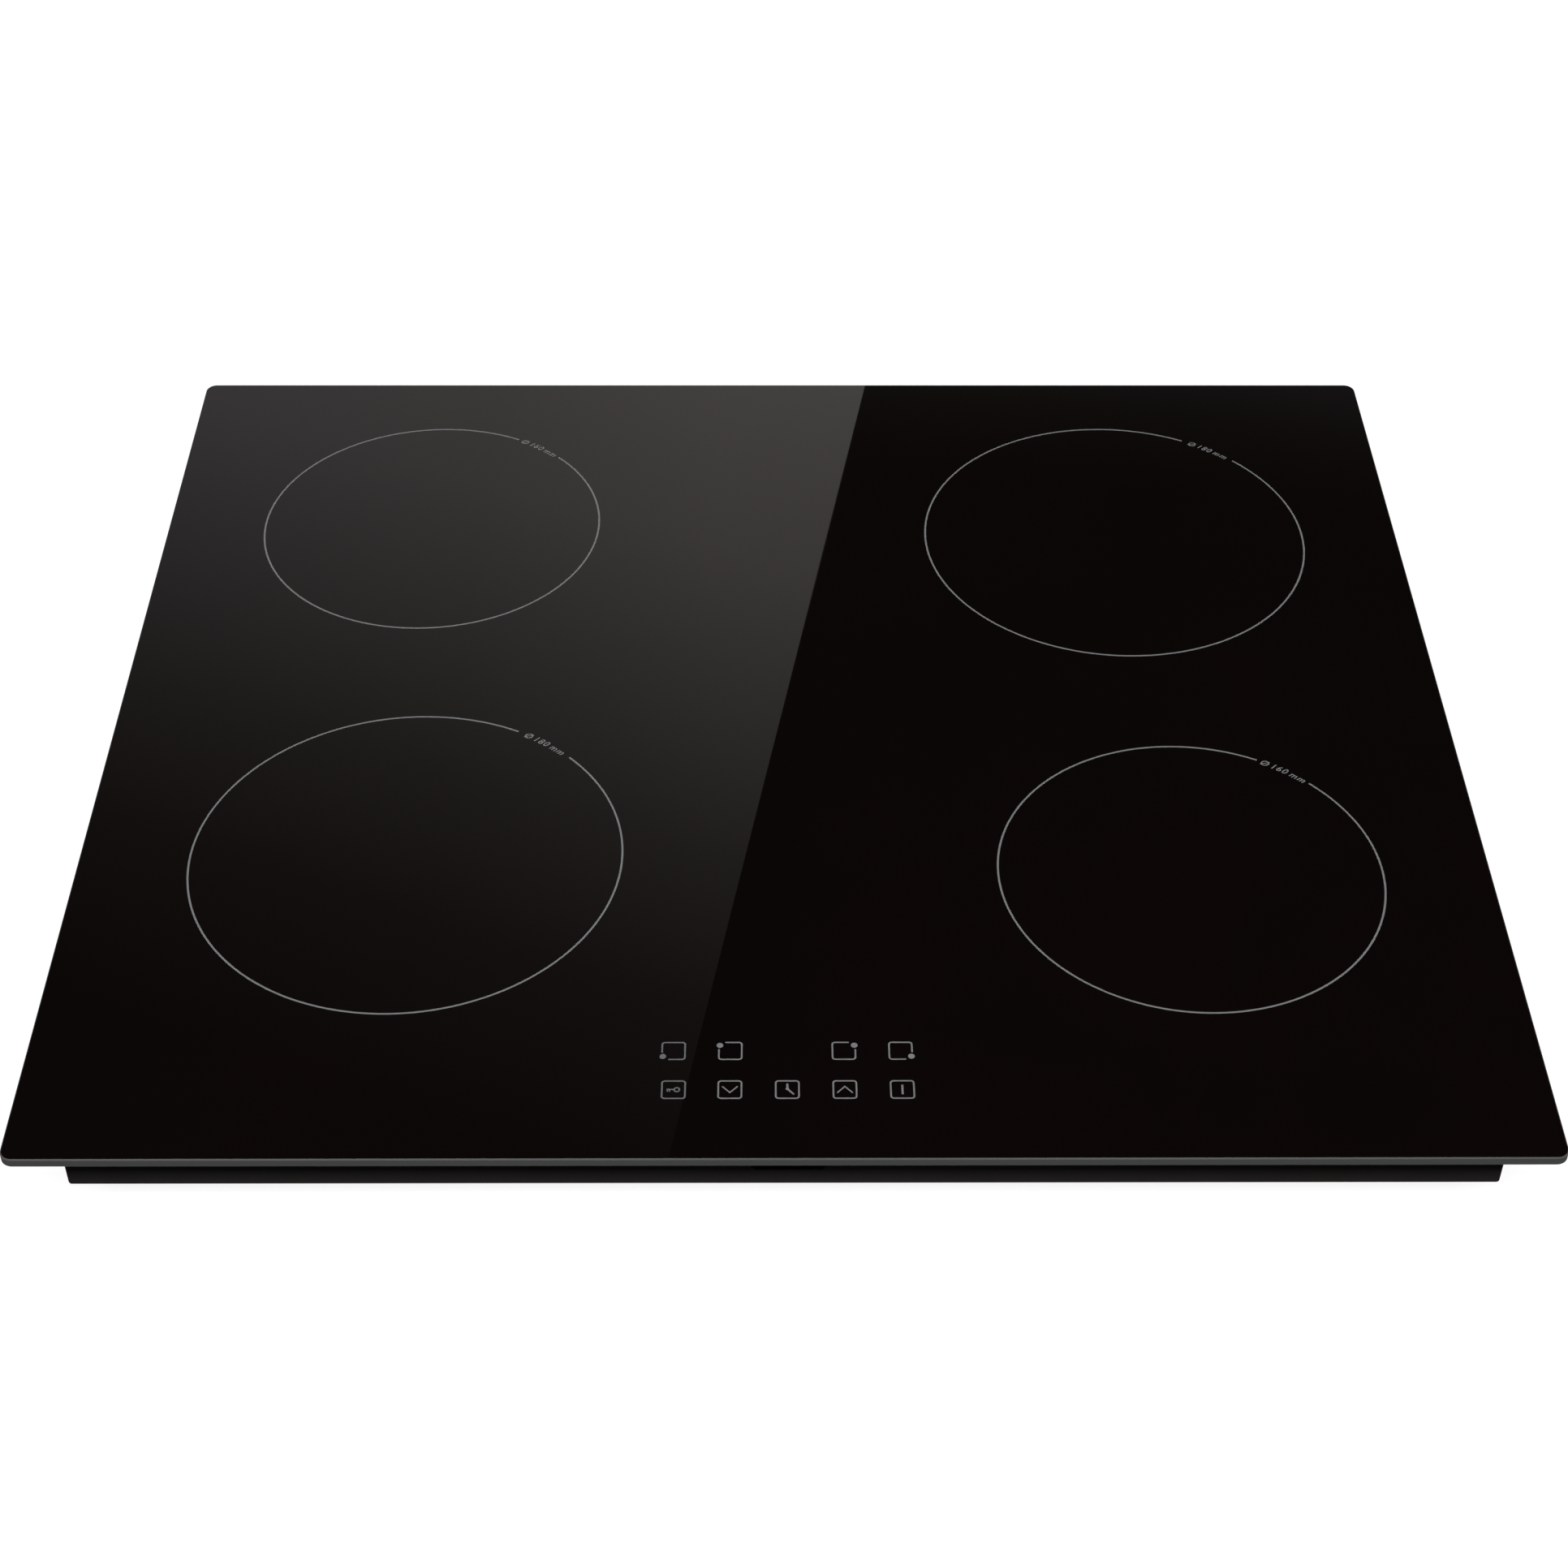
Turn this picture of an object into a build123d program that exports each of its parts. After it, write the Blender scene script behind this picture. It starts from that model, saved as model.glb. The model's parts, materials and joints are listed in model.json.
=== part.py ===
from build123d import *

import os
from math import cos, degrees, hypot, pi, radians, sin, tan

# Built-in induction cooktop with four cooking zones. Millimetres, +Z up, -Y is the cook's side.
# The origin is the middle of the flat underside of the tray.

# Glass plate
GLASS_WIDTH = 590.0
GLASS_DEPTH = 520.0
GLASS_THICKNESS = 4.0
GLASS_CORNER_RADIUS = 5.0
GLASS_TOP_BEVEL = 0.5
GLASS_BOTTOM_BEVEL = 0.3
OVERALL_HEIGHT = 58.0

# Cooking zones, placed by the margins from their rings to the glass edges
ZONE_SMALL = 160.5
ZONE_LARGE = 181.0
ZONE_SIDE_MARGIN = 45.75
ZONE_REAR_MARGIN = 40.7
ZONE_FRONT_MARGIN = 74.7

# Sheet-steel tray under the glass, with a shallower shelf under the controls
GLASS_OVERHANG = 17.5
SHEET = 1.0
TRAY_EDGE_RADIUS = 1.25
TRAY_BEND_RADIUS = 1.7
SHELF_LENGTH = 62.0
SHELF_RISE = 22.4
SHELF_SLOPE_ANGLE = 45.0

# Air outlet slots in the slope, and intake slots under each blower
OUTLET_SLOT_WIDTH = 3.2
OUTLET_SLOT_LENGTH = 18.0
OUTLET_SLOT_PITCH = 9.0
OUTLET_SLOTS_PER_SIDE = 20
OUTLET_FIRST_X = 62.0
INTAKE_SLOT_WIDTH = 4.0
INTAKE_RING_STEP = 8.0
INTAKE_RINGS = 3
INTAKE_FIRST_RADIUS = 12.0
INTAKE_BRIDGES = 4
INTAKE_BRIDGE_WIDTH = 7.0

# Stiffening beads pressed up into the floor
BEAD_WIDTH = 8.0
BEAD_HEIGHT = 1.5
BEAD_INNER_X = 92.0
BEAD_SIDE_GAP = 38.0
BEAD_PITCH = 55.0
BEADS_PER_SIDE = 4
BEAD_FIRST_Y = -95.0

# Notch in the front wall, under the glass edge
NOTCH_X = 1.3
NOTCH_WIDTH = 30.0
NOTCH_DEPTH = 9.6
NOTCH_TOP_BELOW_GLASS = 16.2
NOTCH_END_SLOPE = 1.9

# Holes in the underside that take the fixing brackets
BRACKET_HOLE_RADIUS = 2.1
BRACKET_HOLE_SPACING_X = 490.0
BRACKET_HOLE_SPACING_Y = 320.0
BRACKET_HOLE_MIDDLE_Y = 40.0

# Angle frame glued under the glass and screwed into the tray
FRAME_LEG = 9.0
FRAME_DROP = 12.0
ADHESIVE_THICKNESS = 0.8
ADHESIVE_WIDTH = 5.0
SEAL_WIDTH = 8.5
SEAL_THICKNESS = 3.0
SEAL_EDGE_INSET = 2.5

# Pan-head screws, all of one size
SCREW_RADIUS = 1.9
SCREW_HOLE_RADIUS = 2.0
SCREW_HEAD_RADIUS = 3.5
SCREW_HEAD_HEIGHT = 2.0
SCREW_HEAD_BEVEL = 0.7
SCREW_LENGTH = 6.0
SCREW_SLOT_WIDTH = 0.9
SCREW_SLOT_DEPTH = 0.8
FRAME_SCREW_PITCH_X = 190.0
FRAME_SCREW_PITCH_Y = 170.0

# Coil stack, from the glass down
INSULATION_THICKNESS = 1.5
WIRE_DIAMETER = 2.8
WIRE_GAP = 0.65
WINDING_PLAY = 0.1
COIL_INSET = 5.25
COIL_CORE_RADIUS = 22.0
GAP_SAMPLE_STEP = 2.5
FORMER_BASE = 2.0
FORMER_RIM_WIDTH = 1.5
FORMER_RIM_HEIGHT = 2.0
FORMER_RIM_GAP = 1.5
FORMER_HUB_WIDTH = 5.0
FERRITE_WIDTH = 10.0
FERRITE_HEIGHT = 5.0
FERRITE_PLAY = 0.2
FERRITE_COUNT = 6
POCKET_WALL = 1.8
POCKET_END_INSET = 6.0
WINDOW_ANGLE = 22.0
SENSOR_RADIUS = 6.7
SENSOR_CAP_RADIUS = 5.5
SENSOR_CAP_HEIGHT = 2.0
SENSOR_FLANGE_RADIUS = 9.5
SENSOR_FLANGE_THICKNESS = 1.5
SENSOR_PLAY = 0.3
SPRING_RISE = 4.0
SPRING_SPAN = 36.0
SPRING_WIDTH = 10.0
SPRING_STRIP = 0.5
SPRINGS_PER_COIL = 3
SPRING_PLAY = 0.1

# Leads from the coils down to the power boards
LEAD_RADIUS = 1.6
LEAD_SPACING = 9.0
LEAD_BLOCK_LENGTH = 10.0
LEAD_BLOCK_WIDTH = 18.0
LEAD_BLOCK_ANGLE = 50.0
LEAD_HOLE_RADIUS = 3.0
LUG_SIZE = 7.0
LUG_HEIGHT = 8.0

# Aluminium carriers that hold two coils each, and their posts
CARRIER_THICKNESS = 1.0
CARRIER_INNER_X = 60.0
CARRIER_WALL_GAP = 3.5
CARRIER_FRONT_GAP = 55.0
CARRIER_REAR_GAP = 11.0
CARRIER_CORNER_RADIUS = 8.0
CARRIER_WINDOW_RADIUS = 18.0
POST_RADIUS = 3.5
POST_INSET = 6.0
POST_FRONT_Y = -142.0

# Power boards, one on each side
BOARD_THICKNESS = 1.6
BOARD_LIFT = 6.0
BOARD_INNER_X = 76.0
BOARD_OUTER_GAP = 18.5
BOARD_FRONT_Y = -148.0
BOARD_REAR_GAP = 10.0
SPACER_RADIUS = 3.5
SPACER_INSET = 5.0
SPACER_PIN_RADIUS = 1.5
SPACER_PIN_HEIGHT = 2.0
SPACER_HOLE_RADIUS = 1.7

# Heat sinks with the transistors and rectifier clamped under them
SINK_WIDTH = 60.0
SINK_LENGTH = 140.0
SINK_BASE = 4.0
SINK_FIN_HEIGHT = 16.0
SINK_FIN_THICKNESS = 1.6
SINK_FINS = 9
SINK_BLOWER_GAP = 14.0
TRANSISTOR = (16.0, 21.0, 5.0)
TRANSISTORS_FROM_REAR = 46.0
TRANSISTOR_SPACING_X = 30.0
TRANSISTOR_SPACING_Y = 42.0
RECTIFIER = (30.0, 20.0, 5.0)
RECTIFIER_FROM_FRONT = 22.0

# Capacitors and chokes
RESONANCE_CAP = (18.0, 32.0, 22.0)
RESONANCE_CAP_PITCH = 38.0
RESONANCE_CAP_REAR_GAP = 28.5
RESONANCE_CAPS_PER_BOARD = 4
RESONANCE_CAP_EDGE_GAP = 11.0
LINK_CAP = (42.0, 26.0, 28.0)
LINK_CAP_EDGE_GAP = 8.0
CAP_CORNER_RADIUS = 1.5
CHOKE_RADIUS = 20.0
CHOKE_BORE = 9.0
CHOKE_HEIGHT = 17.0
CHOKE_EDGE_RADIUS = 3.0
CHOKE_FROM_FRONT = 36.0
FILTER_BOARD_HALF_WIDTH = 50.0
FILTER_BOARD_REAR_Y = 60.0
FILTER_CAP = (30.0, 16.0, 22.0)
FILTER_CAP_SPACING = 44.0
FILTER_CAP_Y = -85.0
COMMON_CHOKE_Y = -25.0
FUSE_RADIUS = 3.2
FUSE_LENGTH = 32.0
FUSE_CAP_RADIUS = 3.6
FUSE_CAP_LENGTH = 6.0
FUSE_X = 34.0
FUSE_Y = 30.0

# Scroll blowers that lie flat over the intake slots
BLOWER_SIDE_GAP = 111.5
BLOWER_REAR_GAP = 73.5
BLOWER_HEIGHT = 33.0
BLOWER_WALL = 1.5
BLOWER_OUTLET_REACH = 47.5
BLOWER_SCROLL_GAP = 3.0
BLOWER_SCROLL_STEP = 2.5
BLOWER_INTAKE_RADIUS = 30.0
BLOWER_EAR = 14.0
BLOWER_EAR_BITE = 1.7
BLOWER_EAR_THICKNESS = 3.0
IMPELLER_RADIUS = 36.0
IMPELLER_BLADE_INNER = 29.0
IMPELLER_CLEARANCE = 2.5
IMPELLER_PLATE = 1.5
IMPELLER_RING_WIDTH = 3.0
BLADE_COUNT = 28
BLADE_THICKNESS = 1.0
BLADE_SWEEP_ANGLE = 9.0
BLADE_CROWN = 1.6
HUB_RADIUS = 18.5
HUB_WALL = 1.5
HUB_FLOOR = 2.0
HUB_FLOOR_LIFT = 8.0
SHAFT_RADIUS = 1.5
SHAFT_RUNNING_GAP = 0.05
SHAFT_TOP_GAP = 1.0
BEARING_TUBE_RADIUS = 4.5
BEARING_TUBE_LIFT = 4.0
STATOR_RADIUS = 15.0
STATOR_HEIGHT = 11.0
STATOR_SLOTS = 6
STATOR_SLOT_WIDTH = 3.0
STATOR_SLOT_DEPTH = 6.0

# Mains terminal box in the rear wall, with a lid hinged at its top edge
BOX_HALF_WIDTH = 55.0
BOX_BOTTOM = 8.0
BOX_HEIGHT = 28.5
BOX_DEPTH = 46.0
BOX_WALL = 2.0
BOX_FLANGE = 3.5
BOX_WALL_PLAY = 0.2
PARTITION_X = 20.0
CABLE_BORE_RADIUS = 7.0
CABLE_BORE_LENGTH = 10.0
CABLE_COLLAR_WALL = 2.5
LID_THICKNESS = 2.0
LID_GAP = 0.4
LID_BARREL_RADIUS = 1.6
LID_PIN_RADIUS = 1.2
LID_PIN_LENGTH = 1.6
LID_PIN_CLEARANCE = 0.05
LID_AXIS_INSET = 3.0
LID_AXIS_DROP = 2.2
LID_RIB_DEPTH = 1.5
LID_RIB_INSET = 6.0
LID_TAB_WIDTH = 12.0
LID_TAB_HEIGHT = 2.5
POLE_COUNT = 6
POLE_PITCH = 10.0
POLE_WALL = 1.2
POLE_GAP_DEPTH = 3.3
TERMINAL_BLOCK_HEIGHT = 16.0
TERMINAL_BLOCK_DEPTH = 18.0
TERMINAL_BLOCK_BACK_GAP = 7.0
TERMINAL_RECESS_RADIUS = 3.4
TERMINAL_RECESS_DEPTH = 5.0
TERMINAL_SCREW_RADIUS = 3.2
TERMINAL_SCREW_HEIGHT = 3.0
CLAMP_WIDTH = 30.0
CLAMP_DEPTH = 9.0
CLAMP_THICKNESS = 4.0
CLAMP_GAP = 1.0
CLAMP_PILLAR_RADIUS = 3.2
CLAMP_BEHIND_COLLAR = 3.0

# Touch controls on the shelf
ICON_ROW_REAR = 54.4
ICON_ROW_FRONT = 34.5
ICON_PITCH = 22.1
TOUCH_BOARD_WIDTH = 138.0
TOUCH_BOARD_DEPTH = 36.0
TOUCH_BOARD_BELOW_GLASS = 8.0
TOUCH_PAD_RADIUS = 4.0
HOLDER_WALL = 1.6
HOLDER_FLOOR = 2.0
HOLDER_PLAY = 0.3
HOLDER_LEG_RADIUS = 3.5
HOLDER_LEG_INSET = 8.0
HOLDER_RIM_HEIGHT = 7.0
DIGIT = (9.0, 7.0, 6.5)
TIMER_DIGITS = (16.0, 8.0, 6.5)

# Wiring
RIBBON_WIDTH = 16.0
RIBBON_THICKNESS = 1.0
RIBBON_BEND = 6.0
RIBBON_OFFSET = 9.0
RIBBON_SLOT_PLAY = 1.0
WIRE_LEAD_RADIUS = 1.7
WIRE_LEAD_PITCH = 12.0
WIRE_LEAD_BEND = 6.0
WIRE_LEAD_HOLE_PLAY = 0.4

# Levels and outlines that follow from the driving dimensions
TRAY_WIDTH = GLASS_WIDTH - 2 * GLASS_OVERHANG
TRAY_DEPTH = GLASS_DEPTH - 2 * GLASS_OVERHANG
Z_GLASS = OVERALL_HEIGHT - GLASS_THICKNESS
Z_TRAY_TOP = Z_GLASS - ADHESIVE_THICKNESS
Z_FLOOR = SHEET
Z_SHELF_FLOOR = SHELF_RISE + SHEET
Z_WINDING_TOP = Z_GLASS - INSULATION_THICKNESS
Z_FORMER_TOP = Z_WINDING_TOP - WIRE_DIAMETER - 2 * WINDING_PLAY
Z_FORMER_BASE = Z_FORMER_TOP - FORMER_BASE
Z_POCKET_BOTTOM = Z_FORMER_BASE - FERRITE_HEIGHT
Z_CARRIER_TOP = Z_POCKET_BOTTOM - SPRING_RISE
Z_CARRIER = Z_CARRIER_TOP - CARRIER_THICKNESS
Z_BOARD = Z_FLOOR + BOARD_LIFT
Z_BOARD_TOP = Z_BOARD + BOARD_THICKNESS
Z_TOUCH_BOARD_TOP = Z_GLASS - TOUCH_BOARD_BELOW_GLASS
Z_TOUCH_BOARD = Z_TOUCH_BOARD_TOP - BOARD_THICKNESS
Z_HOLDER = Z_TOUCH_BOARD - HOLDER_FLOOR
Z_BLOWER_TOP = Z_FLOOR + BLOWER_HEIGHT

INNER_X = TRAY_WIDTH / 2 - SHEET
INNER_Y = TRAY_DEPTH / 2 - SHEET
WINDING_PITCH = WIRE_DIAMETER + WIRE_GAP
CARRIER_OUTER_X = INNER_X - CARRIER_WALL_GAP
BOARD_OUTER_X = INNER_X - BOARD_OUTER_GAP
BLOWER_X = INNER_X - BLOWER_SIDE_GAP
BLOWER_Y = INNER_Y - BLOWER_REAR_GAP
BOARD_REAR_Y = BLOWER_Y - BLOWER_OUTLET_REACH - BOARD_REAR_GAP
BOX_TOP = BOX_BOTTOM + BOX_HEIGHT
BOX_MOUTH_Y = TRAY_DEPTH / 2
BOX_FRONT_Y = BOX_MOUTH_Y - BOX_DEPTH
LID_AXIS_Y = BOX_MOUTH_Y - LID_AXIS_INSET
LID_AXIS_Z = BOX_TOP - BOX_WALL - LID_AXIS_DROP
SCREW_LEVEL = Z_TRAY_TOP - FRAME_DROP / 2
CONTROL_Y = -GLASS_DEPTH / 2 + (ICON_ROW_REAR + ICON_ROW_FRONT) / 2

SIDES = {"left": -1, "right": 1}


class Zone:
    """One cooking zone: its ring on the glass and the coil under it."""

    def __init__(self, name, side, rear, diameter):
        self.name = name
        self.side = side
        self.rear = rear
        self.x = side * (GLASS_WIDTH / 2 - ZONE_SIDE_MARGIN - diameter / 2)
        if rear:
            self.y = GLASS_DEPTH / 2 - ZONE_REAR_MARGIN - diameter / 2
        else:
            self.y = -GLASS_DEPTH / 2 + ZONE_FRONT_MARGIN + diameter / 2
        self.coil_radius = diameter / 2 - COIL_INSET
        self.former_radius = self.coil_radius + FORMER_RIM_GAP + FORMER_RIM_WIDTH
        # The lead block points at the middle of the cooktop, towards the power board.
        turn = LEAD_BLOCK_ANGLE * (-1 if rear else 1)
        self.block_angle = turn if side < 0 else 180 - turn

    def at(self, z=0.0):
        """Place of the coil's middle at height z."""
        return Location((self.x, self.y, z))

    def lead_points(self):
        """Where the two leads leave the block, as (x, y) in the cooktop's frame."""
        angle = radians(self.block_angle)
        out = self.former_radius + LEAD_BLOCK_LENGTH / 2
        points = []
        for step in (-0.5, 0.5):
            shift = step * LEAD_SPACING
            x = self.x + out * cos(angle) - shift * sin(angle)
            y = self.y + out * sin(angle) + shift * cos(angle)
            points.append((x, y))
        return points


ZONES = [
    Zone("left_rear", -1, True, ZONE_SMALL),
    Zone("left_front", -1, False, ZONE_LARGE),
    Zone("right_rear", 1, True, ZONE_LARGE),
    Zone("right_front", 1, False, ZONE_SMALL),
]


# Small shared shapes


def block(x, y, z):
    """A box from three (low, high) pairs."""
    size = [high - low for low, high in (x, y, z)]
    middle = [(high + low) / 2 for low, high in (x, y, z)]
    return Pos(*middle) * Box(*size)


def standing_box(size, x, y, z):
    """A box of (width, depth, height) whose underside is centred on a point."""
    width, depth, height = size
    return Pos(x, y, z + height / 2) * Box(width, depth, height)


def disc(x, y, low, high, radius):
    """An upright cylinder between two levels."""
    return Pos(x, y, (low + high) / 2) * Cylinder(radius, high - low)


def tube(x, y, low, high, outer, inner):
    """An upright ring between two levels."""
    return disc(x, y, low, high, outer) - disc(x, y, low, high, inner)


def screw():
    """A slotted pan-head screw: its head sits on z = 0 and its shank points down."""
    head = disc(0, 0, 0, SCREW_HEAD_HEIGHT, SCREW_HEAD_RADIUS)
    head = chamfer(head.edges().group_by(Axis.Z)[-1], SCREW_HEAD_BEVEL)
    slot_low = SCREW_HEAD_HEIGHT - SCREW_SLOT_DEPTH
    slot = block(
        (-SCREW_HEAD_RADIUS, SCREW_HEAD_RADIUS),
        (-SCREW_SLOT_WIDTH / 2, SCREW_SLOT_WIDTH / 2),
        (slot_low, SCREW_HEAD_HEIGHT),
    )
    return head + disc(0, 0, -SCREW_LENGTH, 0, SCREW_RADIUS) - slot


def mirrored(shape, side):
    """The shape as modelled for the left side, or its mirror image for the right."""
    return shape if side < 0 else mirror(shape, about=Plane.YZ)


# Glass, its seal, and the frame that holds it to the tray


def glass_plate():
    outline = RectangleRounded(GLASS_WIDTH, GLASS_DEPTH, GLASS_CORNER_RADIUS)
    plate = Pos(0, 0, Z_GLASS) * extrude(outline, GLASS_THICKNESS)
    plate = chamfer(plate.edges().group_by(Axis.Z)[-1], GLASS_TOP_BEVEL)
    return chamfer(plate.edges().group_by(Axis.Z)[0], GLASS_BOTTOM_BEVEL)


def edge_seal():
    """Four strips of foam tape under the edge of the glass, butted at the corners."""
    outer_x = GLASS_WIDTH / 2 - SEAL_EDGE_INSET
    outer_y = GLASS_DEPTH / 2 - SEAL_EDGE_INSET
    level = (Z_GLASS - SEAL_THICKNESS, Z_GLASS)
    strips = []
    for sign in (-1, 1):
        across = sorted((sign * outer_y, sign * (outer_y - SEAL_WIDTH)))
        strips.append(block((-outer_x, outer_x), across, level))
        along = sorted((sign * outer_x, sign * (outer_x - SEAL_WIDTH)))
        side_end = outer_y - SEAL_WIDTH
        strips.append(block(along, (-side_end, side_end), level))
    return strips


def rectangle_ring(outer_x, outer_y, width, low, high):
    """A rectangular ring: half sizes outside, the width of its bars, two levels."""
    outline = RectangleRounded(2 * outer_x, 2 * outer_y, TRAY_EDGE_RADIUS - SHEET)
    outer = Pos(0, 0, low) * extrude(outline, high - low)
    inner_x, inner_y = outer_x - width, outer_y - width
    return outer - block((-inner_x, inner_x), (-inner_y, inner_y), (low, high))


def frame_screw_places():
    """Seats of the side screws, each with its shank along local -Z into the tray."""
    places = []
    for step in (-1, 0, 1):
        for sign in (-1, 1):
            seat = (sign * TRAY_WIDTH / 2, step * FRAME_SCREW_PITCH_Y, SCREW_LEVEL)
            places.append(Plane(seat, x_dir=(0, 1, 0), z_dir=(sign, 0, 0)).location)
            seat = (step * FRAME_SCREW_PITCH_X, sign * TRAY_DEPTH / 2, SCREW_LEVEL)
            places.append(Plane(seat, x_dir=(1, 0, 0), z_dir=(0, sign, 0)).location)
    return places


def frame_screw_holes():
    reach = SCREW_LENGTH
    return [place * Cylinder(SCREW_HOLE_RADIUS, 2 * reach) for place in frame_screw_places()]


def glass_frame():
    flat = rectangle_ring(INNER_X, INNER_Y, FRAME_LEG, Z_TRAY_TOP - SHEET, Z_TRAY_TOP)
    drop = rectangle_ring(INNER_X, INNER_Y, SHEET, Z_TRAY_TOP - FRAME_DROP, Z_TRAY_TOP)
    return flat + drop - frame_screw_holes()


def glass_adhesive():
    inset = (FRAME_LEG - ADHESIVE_WIDTH) / 2
    return rectangle_ring(INNER_X - inset, INNER_Y - inset, ADHESIVE_WIDTH, Z_TRAY_TOP, Z_GLASS)


# Sheet-steel tray


def tray_block(inset, top):
    """The tray's outline as a solid, drawn in by inset on every side but the top."""
    front = -TRAY_DEPTH / 2 + inset
    rear = TRAY_DEPTH / 2 - inset
    slope = radians(SHELF_SLOPE_ANGLE)
    shelf_end = -TRAY_DEPTH / 2 + SHELF_LENGTH + inset * tan(slope / 2)
    slope_end = -TRAY_DEPTH / 2 + SHELF_LENGTH + SHELF_RISE / tan(slope) + inset * tan(slope / 2)
    profile = Polyline(
        (front, top),
        (front, SHELF_RISE + inset),
        (shelf_end, SHELF_RISE + inset),
        (slope_end, inset),
        (rear, inset),
        (rear, top),
        close=True,
    )
    half_width = TRAY_WIDTH / 2 - inset
    face = Plane.YZ * make_face(profile)
    solid = Pos(-half_width, 0, 0) * extrude(face, 2 * half_width)
    bends = [e for e in solid.edges().filter_by(Axis.X) if e.center().Z < top - inset]
    solid = fillet(bends, TRAY_BEND_RADIUS - inset)
    sides = [f for f in solid.faces() if abs(abs(f.normal_at().X) - 1) < 1e-6]
    rims = [e for f in sides for e in f.edges() if e.center().Z < top - inset]
    return fillet(rims, TRAY_EDGE_RADIUS - inset)


def slope_frame():
    """Plane on the middle of the slope, its X along the cooktop and its Z out of the tray."""
    slope = radians(SHELF_SLOPE_ANGLE)
    y = -TRAY_DEPTH / 2 + SHELF_LENGTH + SHELF_RISE / tan(slope) / 2
    return Plane((0, y, SHELF_RISE / 2), x_dir=(1, 0, 0), z_dir=(0, -sin(slope), -cos(slope)))


def outlet_slots():
    slot = SlotOverall(OUTLET_SLOT_LENGTH, OUTLET_SLOT_WIDTH, rotation=90)
    cutter = extrude(slot, 2 * SHEET, both=True)
    cuts = []
    for step in range(OUTLET_SLOTS_PER_SIDE):
        x = OUTLET_FIRST_X + step * OUTLET_SLOT_PITCH
        for sign in (-1, 1):
            cuts.append(slope_frame().location * Pos(sign * x, 0, 0) * cutter)
    return cuts


def intake_slots():
    """Rings of curved slots under each blower."""
    cuts = []
    for sign in SIDES.values():
        for ring in range(INTAKE_RINGS):
            radius = INTAKE_FIRST_RADIUS + ring * INTAKE_RING_STEP
            bridge = degrees((INTAKE_BRIDGE_WIDTH + INTAKE_SLOT_WIDTH) / radius)
            span = 360 / INTAKE_BRIDGES - bridge
            arc = CenterArc((0, 0), radius, -span / 2, span)
            cutter = extrude(SlotArc(arc, INTAKE_SLOT_WIDTH), 2 * SHEET, both=True)
            for turn in range(INTAKE_BRIDGES):
                angle = 45 + turn * 360 / INTAKE_BRIDGES
                cuts.append(Pos(sign * BLOWER_X, BLOWER_Y, 0) * Rot(0, 0, angle) * cutter)
    return cuts


def bead_faces(width):
    """Outlines of the stiffening beads, as rounded slots of one width."""
    left, right = BEAD_INNER_X, INNER_X - BEAD_SIDE_GAP
    slot = SlotCenterToCenter(right - left, width)
    faces = []
    for step in range(BEADS_PER_SIDE):
        for sign in (-1, 1):
            y = BEAD_FIRST_Y + step * BEAD_PITCH
            faces.append(Pos(sign * (left + right) / 2, y) * slot)
    return faces


def front_notch():
    top = OVERALL_HEIGHT - NOTCH_TOP_BELOW_GLASS - SHEET
    low_half = NOTCH_WIDTH / 2 - NOTCH_END_SLOPE
    outline = Polyline(
        (-NOTCH_WIDTH / 2, top),
        (-NOTCH_WIDTH / 2, top - NOTCH_DEPTH + NOTCH_END_SLOPE),
        (-low_half, top - NOTCH_DEPTH),
        (low_half, top - NOTCH_DEPTH),
        (NOTCH_WIDTH / 2, top - NOTCH_DEPTH + NOTCH_END_SLOPE),
        (NOTCH_WIDTH / 2, top),
        close=True,
    )
    return Pos(NOTCH_X, -INNER_Y, 0) * extrude(Plane.XZ * make_face(outline), 2 * SHEET, both=True)


def bracket_hole_places():
    places = []
    for sx in (-0.5, 0.5):
        for sy in (-0.5, 0.5):
            y = BRACKET_HOLE_MIDDLE_Y + sy * BRACKET_HOLE_SPACING_Y
            places.append((sx * BRACKET_HOLE_SPACING_X, y))
    return places


def bottom_tray():
    shell = tray_block(0, Z_TRAY_TOP) - tray_block(SHEET, Z_TRAY_TOP + SHEET)
    shell += [extrude(face, SHEET + BEAD_HEIGHT) for face in bead_faces(BEAD_WIDTH + 2 * SHEET)]
    shell -= [extrude(face, BEAD_HEIGHT) for face in bead_faces(BEAD_WIDTH)]
    cuts = outlet_slots() + intake_slots() + [front_notch()] + frame_screw_holes()
    cuts += [disc(x, y, 0, SHEET, BRACKET_HOLE_RADIUS) for x, y in bracket_hole_places()]
    cuts += [disc(x, y, 0, SHEET, SCREW_HOLE_RADIUS) for x, y in blower_screw_points()]
    half = BOX_HALF_WIDTH + BOX_WALL_PLAY
    cuts.append(
        block(
            (-half, half),
            (INNER_Y - SHEET, TRAY_DEPTH / 2 + SHEET),
            (BOX_BOTTOM - BOX_WALL_PLAY, BOX_TOP + BOX_WALL_PLAY),
        )
    )
    return shell - cuts


# Coil stack of one zone


def coil_turns(zone):
    return int((zone.coil_radius - COIL_CORE_RADIUS) / WINDING_PITCH)


def spiral_edges(zone):
    """Half circles about two centres, half a pitch apart: a flat spiral with no corners."""
    outer = zone.coil_radius - WIRE_DIAMETER / 2
    inner = outer - coil_turns(zone) * WINDING_PITCH
    edges = [Line((inner, -WIRE_DIAMETER), (inner, 0))]
    for half_turn in range(2 * coil_turns(zone)):
        odd = half_turn % 2
        radius = inner + half_turn * WINDING_PITCH / 2
        edges.append(CenterArc((odd * WINDING_PITCH / 2, 0), radius, 180 * odd, 180))
    edges.append(Line((outer, 0), (outer, WIRE_DIAMETER)))
    return edges


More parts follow.
